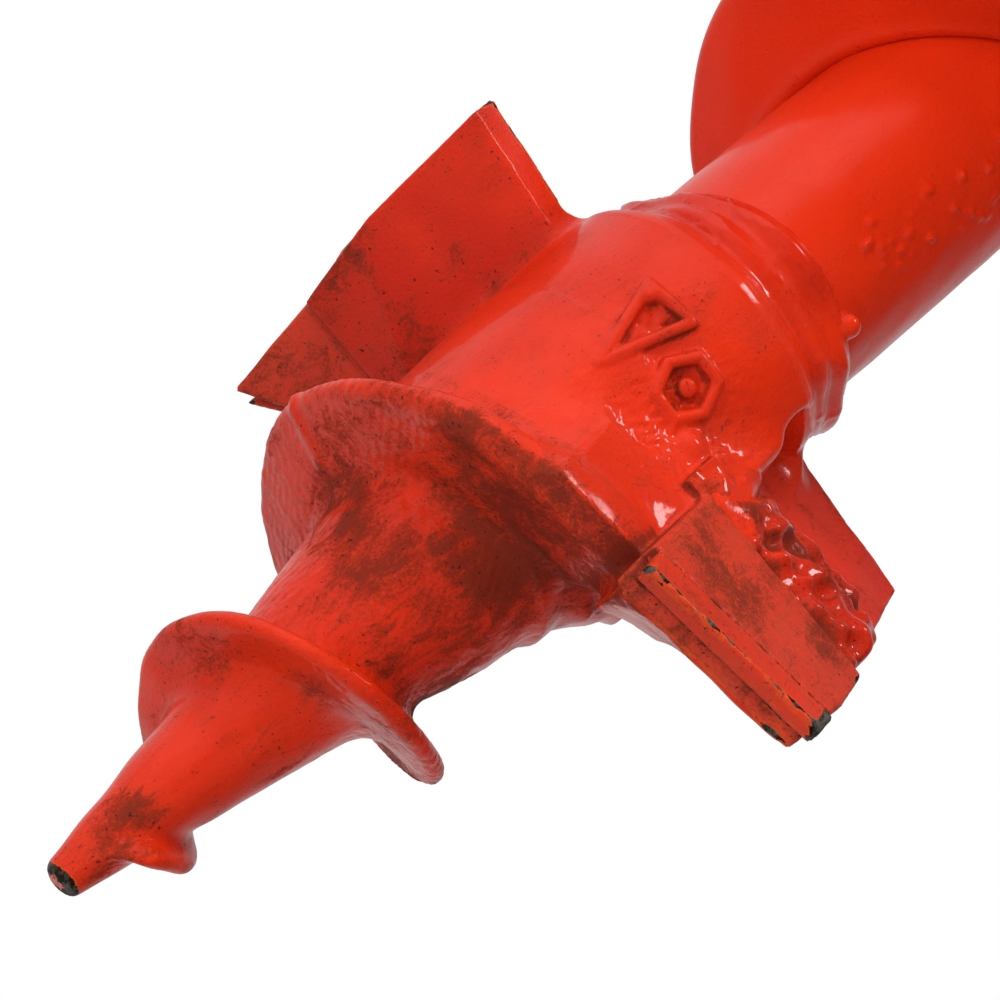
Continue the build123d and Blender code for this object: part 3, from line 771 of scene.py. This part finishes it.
def enamel(name, chips=0.5, bubbles=0.0, gloss=0.12, deep=0.5, scuff=0.4, coat=0.6, dust_and_sheen=0.0):
    """Thick glossy red enamel with brown soil, painted brown shade in the corners, a pale film with painted
    sheen on faces that look down, scuffs, and chips on the edges.
    """
    material, tree = node_material(name)
    n = Nodes(tree)
    at = n.place()
    cavity_shade = n.attribute("cavity_shade")
    edge = n.attribute("edge")
    soil_here = n.attribute("soil")

    tone = n.noise(at, 34.0, 2.0, 0.45, 0.6)
    colour = n.mix(n.ramp(tone, 0.36, 0.68, 0.0, deep), BRIGHT, DEEP)
    # soil, with painted shade added in the corners: a thin film, with fine grains and short smears over it
    soil_and_shade = n.plus(soil_here, n.times(n.ramp(cavity_shade, 0.2, 0.8), 0.35))
    smear = n.noise(n.place(scale=(1.0, 1.0, 0.35), turn=(0.6, 0.4, 0.2)), 420.0, 5.0, 0.65, 1.2)
    fine = n.noise(at, 2300.0, 4.0, 0.7)
    grain = n.plus(n.times(smear, 0.9), n.times(fine, 0.8))
    laid_soil_and_shade = n.plus(soil_and_shade, n.math("SUBTRACT", grain, 0.85))
    # this mask holds soil and painted corner shade together
    soil = n.ramp(laid_soil_and_shade, 0.38, 0.78)
    # the dark red film also holds soil and painted corner shade together
    film = n.ramp(n.plus(soil_and_shade, n.math("SUBTRACT", smear, 0.5)), 0.1, 0.9, 0.0, 0.55)
    colour = n.mix(film, colour, SOIL_FILM_AND_SHADE)
    # a pale film: dust wherever the piece is dull, and a painted sheen of reflected light on the faces that
    # look down
    dust_and_sheen_here = n.plus(n.times(n.attribute("dust_and_sheen"), 0.14), dust_and_sheen, clamp=True)
    dust_and_sheen_breakup = n.ramp(n.plus(smear, n.times(fine, 0.5)), 0.5, 0.95, 0.5, 1.0)
    colour = n.mix(n.times(dust_and_sheen_breakup, dust_and_sheen_here), colour, DUST_PINK_AND_SHEEN)
    # lays on the brown of soil and the painted brown shade in the corners
    colour = n.mix(n.times(soil, 0.72), colour, SOIL_BROWN_AND_SHADE)
    # dark specks
    specks = n.ramp(n.noise(at, 1900.0, 2.0, 0.6), 0.655, 0.70)
    speck = n.times(specks, n.ramp(laid_soil_and_shade, 0.0, 0.4, 0.1, 1.0))
    colour = n.mix(n.times(speck, 0.85), colour, SOOT)
    # chips: a lighter undercoat ring round dark steel
    ragged = n.noise(at, 700.0, 5.0, 0.7, 0.5)
    patchy = n.noise(at, 85.0, 3.0, 0.6)
    worn = n.plus(edge, n.times(n.math("SUBTRACT", ragged, 0.5), 0.8))
    worn = n.plus(worn, n.times(n.math("SUBTRACT", patchy, 0.5), 1.6))
    limit = 1.35 - 0.6 * chips
    halo = n.ramp(worn, limit - 0.25, limit - 0.08)
    bare = n.ramp(worn, limit, limit + 0.05)
    colour = n.mix(n.times(halo, 0.6), colour, UNDERCOAT)
    colour = n.mix(bare, colour, n.mix(n.ramp(smear, 0.42, 0.62), SOOT, STEEL))

    dull = n.math("MAXIMUM", n.times(n.plus(soil, film, clamp=True), 0.9), bare)
    scuffed = n.ramp(n.noise(n.place(scale=(1.0, 3.0, 0.2)), 240.0, 4.0, 0.6), 0.5, 0.75, 0.0, scuff)
    shader = n.add("ShaderNodeBsdfPrincipled")
    n.link(colour, shader.inputs["Base Color"])
    n.link(n.ramp(dull, 0.0, 1.0, gloss + 0.25, 0.7), shader.inputs["Roughness"])
    n.link(n.times(bare, 0.5), shader.inputs["Metallic"])
    clean = n.math("SUBTRACT", 1.0, n.plus(dull, scuffed, clamp=True), clamp=True)
    n.link(n.times(clean, coat), shader.inputs["Coat Weight"])
    shader.inputs["Coat Roughness"].default_value = gloss
    shader.inputs["Coat IOR"].default_value = 1.5
    shader.inputs["IOR"].default_value = 1.45
    shader.inputs["Specular IOR Level"].default_value = 0.2

    height = n.times(n.noise(at, 330.0, 2.0, 0.5), 0.3)
    grit_bump = n.times(fine, n.ramp(laid_soil_and_shade, -0.1, 0.5, 0.03, 0.8))
    height = n.plus(height, grit_bump)
    height = n.math("SUBTRACT", height, n.times(bare, 0.6))
    if bubbles > 0:
        cells = n.add("ShaderNodeTexVoronoi")
        n.link(at, cells.inputs["Vector"])
        cells.inputs["Scale"].default_value = 420.0
        blister = n.ramp(cells.outputs["Distance"], 0.22, 0.05)
        zone = n.times(n.ramp(n.noise(at, 50.0, 3.0, 0.6), 0.60, 0.70), bubbles)
        height = n.plus(height, n.times(n.times(blister, zone), 1.4))
    n.relief(height, 0.4, 0.0005, shader)
    n.finish(shader.outputs["BSDF"])
    return material


def metal(name, colour, rough, wear_scale=300.0, tint=(0.25, 0.2, 0.16), tarnish=0.35):
    """Plated or polished steel with fine drawing marks and tarnish."""
    material, tree = node_material(name)
    n = Nodes(tree)
    at = n.place()
    drawn = n.noise(n.place(scale=(1.0, 1.0, 12.0)), wear_scale, 4.0, 0.6)
    stain = n.ramp(n.noise(at, 90.0, 5.0, 0.6, 0.8), 0.45, 0.75, 0.0, tarnish)
    shader = n.add("ShaderNodeBsdfPrincipled")
    n.link(n.mix(stain, colour, tint), shader.inputs["Base Color"])
    shader.inputs["Metallic"].default_value = 1.0
    marks = n.ramp(drawn, 0.3, 0.7, rough * 0.7, rough * 1.3)
    n.link(n.plus(marks, n.times(stain, 0.4)), shader.inputs["Roughness"])
    n.relief(drawn, 0.25, 0.0002, shader)
    n.finish(shader.outputs["BSDF"])
    return material


# ------------------------------------------------------------------ stem tube
TUBE_START = 86.0
TUBE_WALL = 3.2
HEAD_RIM = 6.0
PIN_DEPTH = 25.0
PIN_HOLE_R = 4.4
FLIGHT_PITCH = 84.0
FLIGHT_LEVEL = 169.4
FLIGHT_AZIMUTH = radians(-109.0)
FLIGHT_T = 3.2
FLIGHT_OUTER = 48.0
FLIGHT_INNER = 16.5
LEAD_START = radians(-250.0)
LEAD_END = 0.0
LEAD_START_R = 18.6
TURNS = 5


def flight_height(azimuth):
    return FLIGHT_LEVEL + (azimuth - FLIGHT_AZIMUTH) * FLIGHT_PITCH / tau


def flight_gap(az, t):
    """Axial distance from the nearest turn of the flight."""
    near = wrap(az - (FLIGHT_AZIMUTH + (t - FLIGHT_LEVEL) * tau / FLIGHT_PITCH)) * FLIGHT_PITCH / tau
    lowest = flight_height(LEAD_START)
    highest = flight_height(LEAD_END + TURNS * tau)
    return np.where((t - near > lowest - 30) & (t < highest + 30), np.abs(near), 30.0)


tube_waves = Lumps(26.0, 23, stretch=(1.0, 1.0, 3.0))
blisters_rng = np.random.default_rng(31)
BLISTERS = 70


def tube_blisters(count):
    """Paint blisters on the side of the tube above the collar: azimuth, height, radius."""
    out = []
    while len(out) < count:
        az = radians(blisters_rng.uniform(-96.0, -30.0))
        height = blisters_rng.uniform(131.0, 176.0)
        lane = -72.0 + 10.0 * sin((height - 130.0) / 15.0)
        if abs(np.degrees(az) - lane) < blisters_rng.uniform(2.0, 22.0):
            out.append((az, height, blisters_rng.uniform(0.25, 0.55)))
    return out


def tube_piece():
    columns = 260
    dense = np.arange(TUBE_START + 24.0, 200.0, 0.42)
    sparse = np.linspace(200.0, LENGTH - HEAD_RIM, 150)
    heights = np.concatenate([[TUBE_START], dense, sparse])
    az = np.linspace(-pi, pi, columns, endpoint=False)
    a, t = np.meshgrid(az, heights)
    radius = np.full_like(a, TUBE_R)
    x, y = np.cos(a) * TUBE_R, np.sin(a) * TUBE_R
    radius += 0.07 * tube_waves(x, y, t) + 0.05 * paint_lumps(x, y, t) * (t < 205)
    for blister_az, height, blister_r in tube_blisters(BLISTERS):
        away = (wrap(a - blister_az) * TUBE_R) ** 2 + (t - height) ** 2
        radius += np.sqrt(np.maximum((blister_r * 1.5) ** 2 - away, 0.0)) * 0.45
    radius = np.where(t < 112.0, TUBE_R - 0.1, radius)
    points = np.stack([np.cos(a) * radius, np.sin(a) * radius, t], axis=2)
    inner = TUBE_R - TUBE_WALL
    low = np.stack([np.cos(az) * inner, np.sin(az) * inner, np.full(columns, TUBE_START)], axis=1)
    steps = np.linspace(0, 1, 60)[:, None, None]
    top = low.copy()
    top[:, 2] = LENGTH - HEAD_RIM
    inside = top[None] + (low - top)[None] * steps
    grid = np.concatenate([points, inside], axis=0)
    rows = grid.shape[0]
    index = np.arange(rows * columns).reshape(rows, columns)
    right = np.roll(index, -1, axis=1)
    below = np.roll(index, -1, axis=0)
    corner = np.roll(below, -1, axis=1)
    faces = np.stack([index, right, corner, below], axis=2).reshape(-1, 4)
    piece = new_mesh("stem_tube", grid.reshape(-1, 3), faces)
    # cross hole for the drive pin
    bpy.ops.mesh.primitive_cylinder_add(
        vertices=64, radius=PIN_HOLE_R * MM, depth=60 * MM,
        location=(0, 0, -PIN_DEPTH * MM), rotation=(0, pi / 2, 0),
    )
    drill = bpy.context.object
    modifier = piece.modifiers.new("pin_hole", "BOOLEAN")
    modifier.operation = "DIFFERENCE"
    modifier.solver = "EXACT"
    modifier.object = drill
    graph = bpy.context.evaluated_depsgraph_get()
    drilled = bpy.data.meshes.new_from_object(piece.evaluated_get(graph))
    piece.modifiers.clear()
    piece.data = drilled
    bpy.data.objects.remove(drill)
    points = np.array([v.co[:] for v in drilled.vertices]) / MM
    points[:, 2] += LENGTH
    # painted shade: the tube darkens where each turn of the flight meets it, and just above the weld collar
    gap = flight_gap(np.arctan2(points[:, 1], points[:, 0]), points[:, 2])
    collar = smooth_step(points[:, 2], 133.0, 126.0)
    point_values(piece, "cavity_shade", np.clip(0.55 * np.exp(-gap / 2.5) + 0.3 * collar, 0, 1))
    point_values(piece, "edge", np.zeros(len(points)))
    sharp_corners(piece)
    return piece


def sharp_corners(piece, angle=40.0):
    bpy.context.view_layer.objects.active = piece
    piece.select_set(True)
    bpy.ops.object.shade_smooth_by_angle(angle=radians(angle))
    piece.select_set(False)


def mend(piece, work=None):
    """Turns every face outwards, after any other work on the open mesh."""
    bm = bmesh.new()
    bm.from_mesh(piece.data)
    if work:
        work(bm)
    bmesh.ops.recalc_face_normals(bm, faces=bm.faces)
    bm.to_mesh(piece.data)
    bm.free()


# ------------------------------------------------------------------ carrying flight
def flight_section(inner, outer, bead, thickness, count=16):
    """Closed cross-section: a rolled bead at the tube, a plate, and a rounded outer edge."""
    half = thickness / 2
    points = []
    for step in range(count + 1):                      # outer edge, from below to above
        angle = -pi / 2 + pi * step / count
        points.append((outer - half + half * cos(angle), half * sin(angle)))
    face = np.linspace(0, 1, 22)[1:-1]
    start, end = outer - half, inner + bead * 1.7
    points += [(start + (end - start) * s, half) for s in face]
    for step in range(count + 1):                      # inner bead, from above to below
        angle = radians(62) + (tau - radians(124)) * step / count
        points.append((inner + bead + bead * cos(angle), bead * sin(angle)))
    points += [(end + (start - end) * s, -half) for s in face]
    return np.array(points)


flight_waves = Lumps(24.0, 41)


def flight_piece(name, start, end, steps):
    turn = np.linspace(start, end, steps)
    rise = atan2(FLIGHT_PITCH, tau * (FLIGHT_INNER + FLIGHT_OUTER) / 2)
    loops, edges, cavity_shades = [], [], []
    for a in turn:
        if a < LEAD_END:
            share = (a - LEAD_START) / (LEAD_END - LEAD_START)
            outer = LEAD_START_R + (FLIGHT_OUTER - LEAD_START_R) * share ** 0.5
        else:
            outer = FLIGHT_OUTER
        seam = 0.0
        for joint in range(TURNS + 1):
            seam += 0.5 * np.exp(-(((a - LEAD_END - tau * joint) * 30.0 / 1.6) ** 2))
        bead = 1.9 if outer > FLIGHT_INNER + 6 else 1.9 * max(0.3, (outer - FLIGHT_INNER) / 6)
        section = flight_section(FLIGHT_INNER, max(outer, FLIGHT_INNER + 2.4 * bead), bead, FLIGHT_T + seam)
        radius, level = section[:, 0], section[:, 1]
        ahead = -level * sin(rise)
        x = radius * cos(a) - ahead * sin(a)
        y = radius * sin(a) + ahead * cos(a)
        t = flight_height(a) + level * cos(rise)
        t = t + 0.25 * flight_waves(x, y, t)
        loops.append(np.stack([x, y, t], axis=1))
        edges.append(np.clip(1.0 - (outer - radius) / 1.6, 0, 1))
        # painted shade: darker towards the flight's root at the tube
        cavity_shades.append(np.clip(1.0 - (radius - FLIGHT_INNER) / 5.0, 0, 1) * 0.6)
    grid = np.stack(loops)
    rows, columns = grid.shape[:2]
    index = np.arange(rows * columns).reshape(rows, columns)
    right = np.roll(index, -1, axis=1)[:-1]
    faces = np.stack([index[:-1], index[1:], np.roll(index, -1, axis=1)[1:], right], axis=2).reshape(-1, 4)
    piece = new_mesh(name, grid.reshape(-1, 3), faces)

    def close_ends(bm):
        bm.verts.ensure_lookup_table()
        for row in (index[0], index[-1]):
            bmesh.ops.contextual_create(bm, geom=[bm.verts[i] for i in row])

    mend(piece, close_ends)
    point_values(piece, "cavity_shade", np.concatenate(cavity_shades))
    point_values(piece, "edge", np.concatenate(edges) * 0.75)
    sharp_corners(piece, 50.0)
    return piece


# ------------------------------------------------------------------ small fittings, each from its own field
def small_piece(name, function, low, high, step):
    axes = lattice(low, high, step)
    field = function(*np.meshgrid(*axes, indexing="ij"))
    points, quads = surface(field, low, step)
    points = settle(function, points, step * 0.5)
    normals = gradient(function, points, 0.02)
    normals /= np.maximum(np.linalg.norm(normals, axis=1)[:, None], 1e-6)
    piece = new_mesh(name, points, quads, normals)
    # the corner depth drives painted shade in hollows on the enamelled pieces; the edge sharpness drives
    # chipped paint
    reach = 1.2
    cavity_shade = 1.0 - function(*(points + normals * reach).T) / reach
    edge = 1.0 + function(*(points - normals * reach).T) / reach
    point_values(piece, "cavity_shade", np.clip(cavity_shade, 0, 1))
    point_values(piece, "edge", np.clip(edge, 0, 1))
    return piece


SOCKET_R = 10.0
RELIEF_R = 11.5
RELIEF_START = 18.0
RELIEF_END = 32.0
SOCKET_DEPTH = 56.0
INSERT_LENGTH = 60.0


def socket_field(x, y, t):
    z = t - LENGTH
    r = np.hypot(x, y)
    collar = rounded(r - TUBE_R, np.maximum(z, -HEAD_RIM - z), 0.9)
    sleeve = rounded(r - (TUBE_R - TUBE_WALL - 0.05), np.maximum(z + 1.0, -INSERT_LENGTH - z), 0.5)
    body = np.minimum(collar, sleeve)
    bore = np.maximum(r - SOCKET_R, -SOCKET_DEPTH - z)
    relief_middle = (RELIEF_START + RELIEF_END) / 2
    relief = np.maximum(r - RELIEF_R, np.abs(z + relief_middle) - (RELIEF_END - RELIEF_START) / 2)
    mouth = (r - SOCKET_R + z + 0.2) * 0.707            # a worn chamfer at the mouth
    hole = np.hypot(y, z + PIN_DEPTH) - PIN_HOLE_R
    body = smooth_max(body, -bore, 0.6)
    body = smooth_max(body, -relief, 0.5)
    body = smooth_max(body, -mouth, 0.4)
    return smooth_max(body, -hole, 0.4) - 0.04 * slow_lumps(x, y, t)


bead_lumps = Lumps(3.4, 53, waves=12)


def socket_weld_field(x, y, t):
    z = t - LENGTH
    r = np.hypot(x, y)
    az = np.arctan2(y, x)
    ripple = 0.22 * np.cos(az * 34.0 + 0.5 * bead_lumps(x, y, t)) + 0.25 * bead_lumps(x, y, t)
    bead = np.sqrt((r - TUBE_R) ** 2 * 2.0 + ((z + HEAD_RIM) * 0.75) ** 2) - 1.9 - ripple
    return np.maximum(bead, TUBE_R - 0.3 - r) * 0.8


STITCHES_PER_TURN = 3
STITCH_ARC = radians(24.0)
STITCH_LEG = 2.5


def flight_weld_piece():
    """Stitch welds in the corner under the flight, as rippled beads swept along the helix."""
    verts, faces, base = [], [], 0
    ring, rows = 14, 40
    for number in range(TURNS * STITCHES_PER_TURN):
        first = LEAD_END + tau * (number + 0.4) / STITCHES_PER_TURN
        for row in range(rows + 1):
            share = row / rows
            a = first + STITCH_ARC * share
            swell = (max(0.0, 1.0 - (2 * share - 1) ** 4)) ** 0.5 * (1.0 + 0.12 * sin(share * 46.0)) + 0.02
            for step in range(ring):
                angle = tau * step / ring
                r = TUBE_R + 0.9 + STITCH_LEG * 0.62 * swell * cos(angle)
                level = flight_height(a) - FLIGHT_T * 0.62 - 0.9 + STITCH_LEG * 0.62 * swell * sin(angle)
                verts.append((r * cos(a), r * sin(a), level))
        for row in range(rows):
            for step in range(ring):
                a0 = base + row * ring + step
                a1 = base + row * ring + (step + 1) % ring
                faces.append((a0, a1, a1 + ring, a0 + ring))
        base += (rows + 1) * ring
    piece = new_mesh("flight_stitch_welds", np.array(verts), np.array(faces))
    mend(piece, lambda bm: bmesh.ops.holes_fill(bm, edges=[e for e in bm.edges if e.is_boundary]))
    count = len(piece.data.vertices)
    # painted shade: the beads sit in the corner under the flight, so all of them are a little darker
    point_values(piece, "cavity_shade", np.full(count, 0.35))
    point_values(piece, "edge", np.zeros(count))
    return piece


PIN_R = 4.0
PIN_NOSE = -23.0
PIN_HEAD_R = 7.0
PIN_HEAD = (17.6, 22.0)
PIN_EYE_X = 26.5
PIN_EYE_R = 2.2
PIN_EYE_HALF = 4.0
BALL_X = -19.6
BALL_R = 1.5


def pin_field(x, y, t):
    z = t - LENGTH + PIN_DEPTH
    r = np.hypot(y, z)
    shank = rounded(r - PIN_R, np.maximum(PIN_NOSE - x, x - PIN_HEAD[1]), 1.3)
    middle = (PIN_HEAD[0] + PIN_HEAD[1]) / 2
    flange = rounded(r - PIN_HEAD_R, np.abs(x - middle) - (PIN_HEAD[1] - PIN_HEAD[0]) / 2, 0.6)
    knurl = 0.12 * np.cos(np.arctan2(y, z) * 36.0) * smooth_step(r, 5.5, 6.6)
    flange = flange - knurl
    neck = np.maximum(np.abs(z) - PIN_EYE_HALF, PIN_HEAD[1] - 1.0 - x)
    outline = np.where(x < PIN_EYE_X, neck, np.hypot(x - PIN_EYE_X, z) - PIN_EYE_HALF)
    eye = rounded(outline, np.abs(y) - PIN_EYE_HALF, 0.8)
    hole = np.hypot(x - PIN_EYE_X, z) - PIN_EYE_R
    flare = hole - 0.9 * np.clip(np.abs(y) - PIN_EYE_HALF + 1.0, 0.0, 1.0)
    eye = smooth_max(eye, -flare, 0.3)
    body = smooth_min(smooth_min(shank, flange, 0.5), eye, 0.7)
    pocket = np.maximum(np.hypot(x - BALL_X, y) - BALL_R - 0.05, -2.0 - z)
    return smooth_max(body, -pocket, 0.1)


RING_R = 14.0
RING_WIRE_R = 1.1


def ring_piece():
    """Split wire ring: the wire's two ends butt together at the bottom."""
    low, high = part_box("pull_ring")
    centre_z = (low.z + high.z) / 2 / MM + LENGTH
    verts, faces = [], []
    rows, ring = 200, 20
    for row in range(rows):
        a = tau * row / rows
        butt = 1.0 - 0.18 * np.exp(-((wrap(a - pi) * RING_R / 0.35) ** 2))
        wire = RING_WIRE_R * butt * (1.0 - 0.02 * sin(a * 9.0) ** 2)
        for step in range(ring):
            b = tau * step / ring
            radius = RING_R + wire * cos(b)
            verts.append((PIN_EYE_X + wire * sin(b), radius * sin(a), centre_z + radius * cos(a)))
    for row in range(rows):
        here, ahead = row * ring, (row + 1) % rows * ring
        for step in range(ring):
            after = (step + 1) % ring
            faces.append((here + step, ahead + step, ahead + after, here + after))
    piece = new_mesh("pull_ring_wire", np.array(verts), np.array(faces))
    mend(piece)
    return piece


# ------------------------------------------------------------------ stage, light and camera
def camera():
    """Looks up at the head from the side where the right cutting edge faces, rolled over.
    The values come from a fit of the camera to the photograph's outlines."""
    tilt, roll = 0.437437, 0.869770      # radians
    distance = 459.167
    aim = Vector((-0.761, 0.0, 76.189))
    ahead = Vector((0.0, cos(tilt), sin(tilt)))
    right = Vector((1.0, 0.0, 0.0))
    above = Vector((0.0, -sin(tilt), cos(tilt)))
    spot = aim - ahead * distance
    data = bpy.data.cameras.new("camera")
    data.lens = 130.33
    data.sensor_width = 36.0
    data.clip_start = 0.01
    data.clip_end = 50.0
    view = bpy.data.objects.new("camera", data)
    bpy.context.scene.collection.objects.link(view)
    x_axis = right * cos(roll) + above * sin(roll)
    y_axis = -right * sin(roll) + above * cos(roll)
    turn = Matrix((x_axis, y_axis, -ahead)).transposed().to_4x4()
    where = spot * MM
    where.z += TIP_Z
    view.matrix_world = Matrix.Translation(where) @ turn
    bpy.context.scene.camera = view


def area_light(name, where, target, size, watts, mirrored=True):
    data = bpy.data.lights.new(name, "AREA")
    data.shape = "RECTANGLE"
    data.size, data.size_y = size
    data.energy = watts
    lamp = bpy.data.objects.new(name, data)
    bpy.context.scene.collection.objects.link(lamp)
    lamp.visible_glossy = mirrored
    lamp.location = where
    lamp.rotation_mode = "QUATERNION"
    lamp.rotation_quaternion = (Vector(target) - Vector(where)).to_track_quat("-Z", "Y")


def stage():
    world = bpy.data.worlds.new("studio")
    bpy.context.scene.world = world
    world.use_nodes = True
    n = Nodes(world.node_tree)
    world.node_tree.nodes.clear()
    seen = n.add("ShaderNodeBackground")
    seen.inputs["Color"].default_value = (1.0, 1.0, 1.0, 1.0)
    seen.inputs["Strength"].default_value = 1.0
    lit = n.add("ShaderNodeBackground")
    lit.inputs["Color"].default_value = (1.0, 1.0, 1.0, 1.0)
    coords = n.add("ShaderNodeTexCoord")

    def toward(direction):
        """How nearly a ray points in a direction."""
        node = n.add("ShaderNodeVectorMath", operation="DOT_PRODUCT")
        n.link(coords.outputs["Generated"], node.inputs[0])
        node.inputs[1].default_value = Vector(direction).normalized()
        return node.outputs["Value"]

    # a pale sweep behind, a soft bright side at the left, and a dark room on the viewer's side
    sweep = n.ramp(toward((0.0, 0.97, -0.1)), -0.15, 0.9, 0.03, 0.65)
    side_light = n.ramp(toward((-0.85, -0.15, 0.45)), 0.6, 1.0, 0.0, 0.5)
    n.link(n.plus(sweep, side_light), lit.inputs["Strength"])
    path = n.add("ShaderNodeLightPath")
    both = n.add("ShaderNodeMixShader")
    n.link(path.outputs["Is Camera Ray"], both.inputs[0])
    n.link(lit.outputs[0], both.inputs[1])
    n.link(seen.outputs[0], both.inputs[2])
    out = n.add("ShaderNodeOutputWorld")
    n.link(both.outputs[0], out.inputs["Surface"])

    bm = bmesh.new()
    bmesh.ops.create_grid(bm, x_segments=8, y_segments=8, size=40.0)
    mesh = bpy.data.meshes.new("floor")
    bm.to_mesh(mesh)
    bm.free()
    floor = bpy.data.objects.new("floor", mesh)
    floor.location.z = TIP_Z - 0.32
    bpy.context.scene.collection.objects.link(floor)
    material, tree = node_material("pale_floor")
    f = Nodes(tree)
    shade = f.add("ShaderNodeBsdfPrincipled")
    tone = f.ramp(f.noise(f.place(), 3.0, 3.0), 0.3, 0.7)
    f.link(f.mix(tone, (0.78, 0.78, 0.77), (0.82, 0.82, 0.81)), shade.inputs["Base Color"])
    shade.inputs["Roughness"].default_value = 0.8
    f.finish(shade.outputs["BSDF"])
    floor.data.materials.append(material)
    floor.visible_glossy = False
    floor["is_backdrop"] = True

    head = (0.0, 0.0, TIP_Z + 0.08)
    area_light("soft_key", (-1.5, -1.3, TIP_Z + 1.5), head, (1.4, 1.4), 24.0, mirrored=False)
    area_light("soft_fill", (1.3, -1.6, TIP_Z - 0.1), head, (1.6, 1.6), 13.5, mirrored=False)
    area_light("soft_below", (-0.6, -0.9, TIP_Z - 0.30), head, (1.2, 1.2), 12.0, mirrored=False)
    area_light("overhead", (0.05, -0.6, TIP_Z + 1.3), head, (0.34, 0.22), 3.4)
    area_light("back", (-0.5, 1.3, TIP_Z + 0.7), head, (0.9, 0.5), 4.0, mirrored=False)
    bpy.context.scene.view_settings.view_transform = "Standard"


# ------------------------------------------------------------------ put it together
def sheen_on_down_faces(piece):
    """Marks the faces that look down, for a painted pale sheen of reflected light."""
    flat = np.empty(len(piece.data.vertices) * 3, np.float32)
    piece.data.vertices.foreach_get("co", flat)
    normals = np.array([v.normal[:] for v in piece.data.vertices])
    height = (flat.reshape(-1, 3)[:, 2] - TIP_Z) / MM
    point_values(piece, "dust_and_sheen", smooth_step(-normals[:, 2], 0.45, 0.95) * smooth_step(height, 20.0, 50.0))


def dress(piece, material, body, node):
    """Puts on a piece's material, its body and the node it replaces."""
    # a painted pale sheen on the faces that look down
    sheen_on_down_faces(piece)
    piece.data.materials.clear()
    piece.data.materials.append(material)
    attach(piece, body)
    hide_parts(node)


camera()
stage()

paint = {
    "casting": enamel("enamel_casting", chips=0.45),
    "plate": enamel("enamel_plate", chips=0.6, deep=0.8, gloss=0.2, coat=0.4),
    "cutter": enamel("enamel_cutter", chips=0.5, gloss=0.3, scuff=0.8, coat=0.4, dust_and_sheen=0.35),
    "bar": enamel("enamel_bar", chips=0.95, gloss=0.28, scuff=0.7, coat=0.4, dust_and_sheen=0.2),
    "weld": enamel("enamel_weld", chips=0.0, gloss=0.07, deep=0.8, scuff=0.1, coat=0.8),
    "tube": enamel("enamel_tube", chips=0.0, bubbles=1.0, gloss=0.14, deep=0.3, scuff=0.2),
    "flight": enamel("enamel_flight", chips=0.3, gloss=0.14, deep=0.35, scuff=0.3),
}

HEAD_LOOKS = {
    "pilot_point": ("casting", "painted_casting"),
    "head_casting": ("casting", "painted_casting"),
    "hub_weld": ("weld", "painted_weld"),
}
for side in SLOPES:
    HEAD_LOOKS["wing_plate_" + side] = ("plate", "painted_casting")
    HEAD_LOOKS["cutter_plate_" + side] = ("cutter", "painted_cutter")
    HEAD_LOOKS["wear_bar_" + side] = ("bar", "hard_bar")
    HEAD_LOOKS["cutter_weld_" + side] = ("weld", "painted_weld")

for node, piece in head_pieces().items():
    look, slot = HEAD_LOOKS[node]
    dress(piece, paint[look], "auger", node)

dress(tube_piece(), paint["tube"], "auger", "tube")
lead = flight_piece("flight_lead_in_plate", LEAD_START, LEAD_END, 420)
dress(lead, paint["flight"], "auger", "flight_lead_in")
for turn in range(TURNS):
    start = LEAD_END + tau * turn
    plate = flight_piece(f"flight_turn_plate_{turn + 1}", start, start + tau, 240)
    dress(plate, paint["flight"], "auger", f"flight_turn_{turn + 1}")
dress(flight_weld_piece(), paint["weld"], "auger", "flight_welds")

top = LENGTH
low, high = (-18.5, -18.5, top - 62), (18.5, 18.5, top + 1.5)
socket = small_piece("drive_socket_insert", socket_field, low, high, 0.45)
dress(socket, paint["tube"], "auger", "drive_socket")
bead = small_piece("socket_weld_bead", socket_weld_field, (-20, -20, top - 11), (20, 20, top - 1), 0.35)
dress(bead, paint["weld"], "auger", "socket_weld")

plated = metal("zinc_plate", (0.62, 0.63, 0.64), 0.28)
pin = small_piece("drive_pin_body", pin_field, (-24.5, -8.5, top - 34), (32, 8.5, top - 16), 0.25)
dress(pin, plated, "drive_pin", "drive_pin")
dress(ring_piece(), plated, "pull_ring", "pull_ring")
polished = metal("ball_steel", (0.70, 0.70, 0.71), 0.12, tarnish=0.1)
spring_steel = metal("spring_wire", (0.35, 0.35, 0.37), 0.3, tarnish=0.2)
for node, look in (("detent_ball", polished), ("detent_spring", spring_steel)):
    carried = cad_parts[node]
    carried.data.materials.clear()
    carried.data.materials.append(look)
    for polygon_face in carried.data.polygons:
        polygon_face.use_smooth = True

low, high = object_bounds()
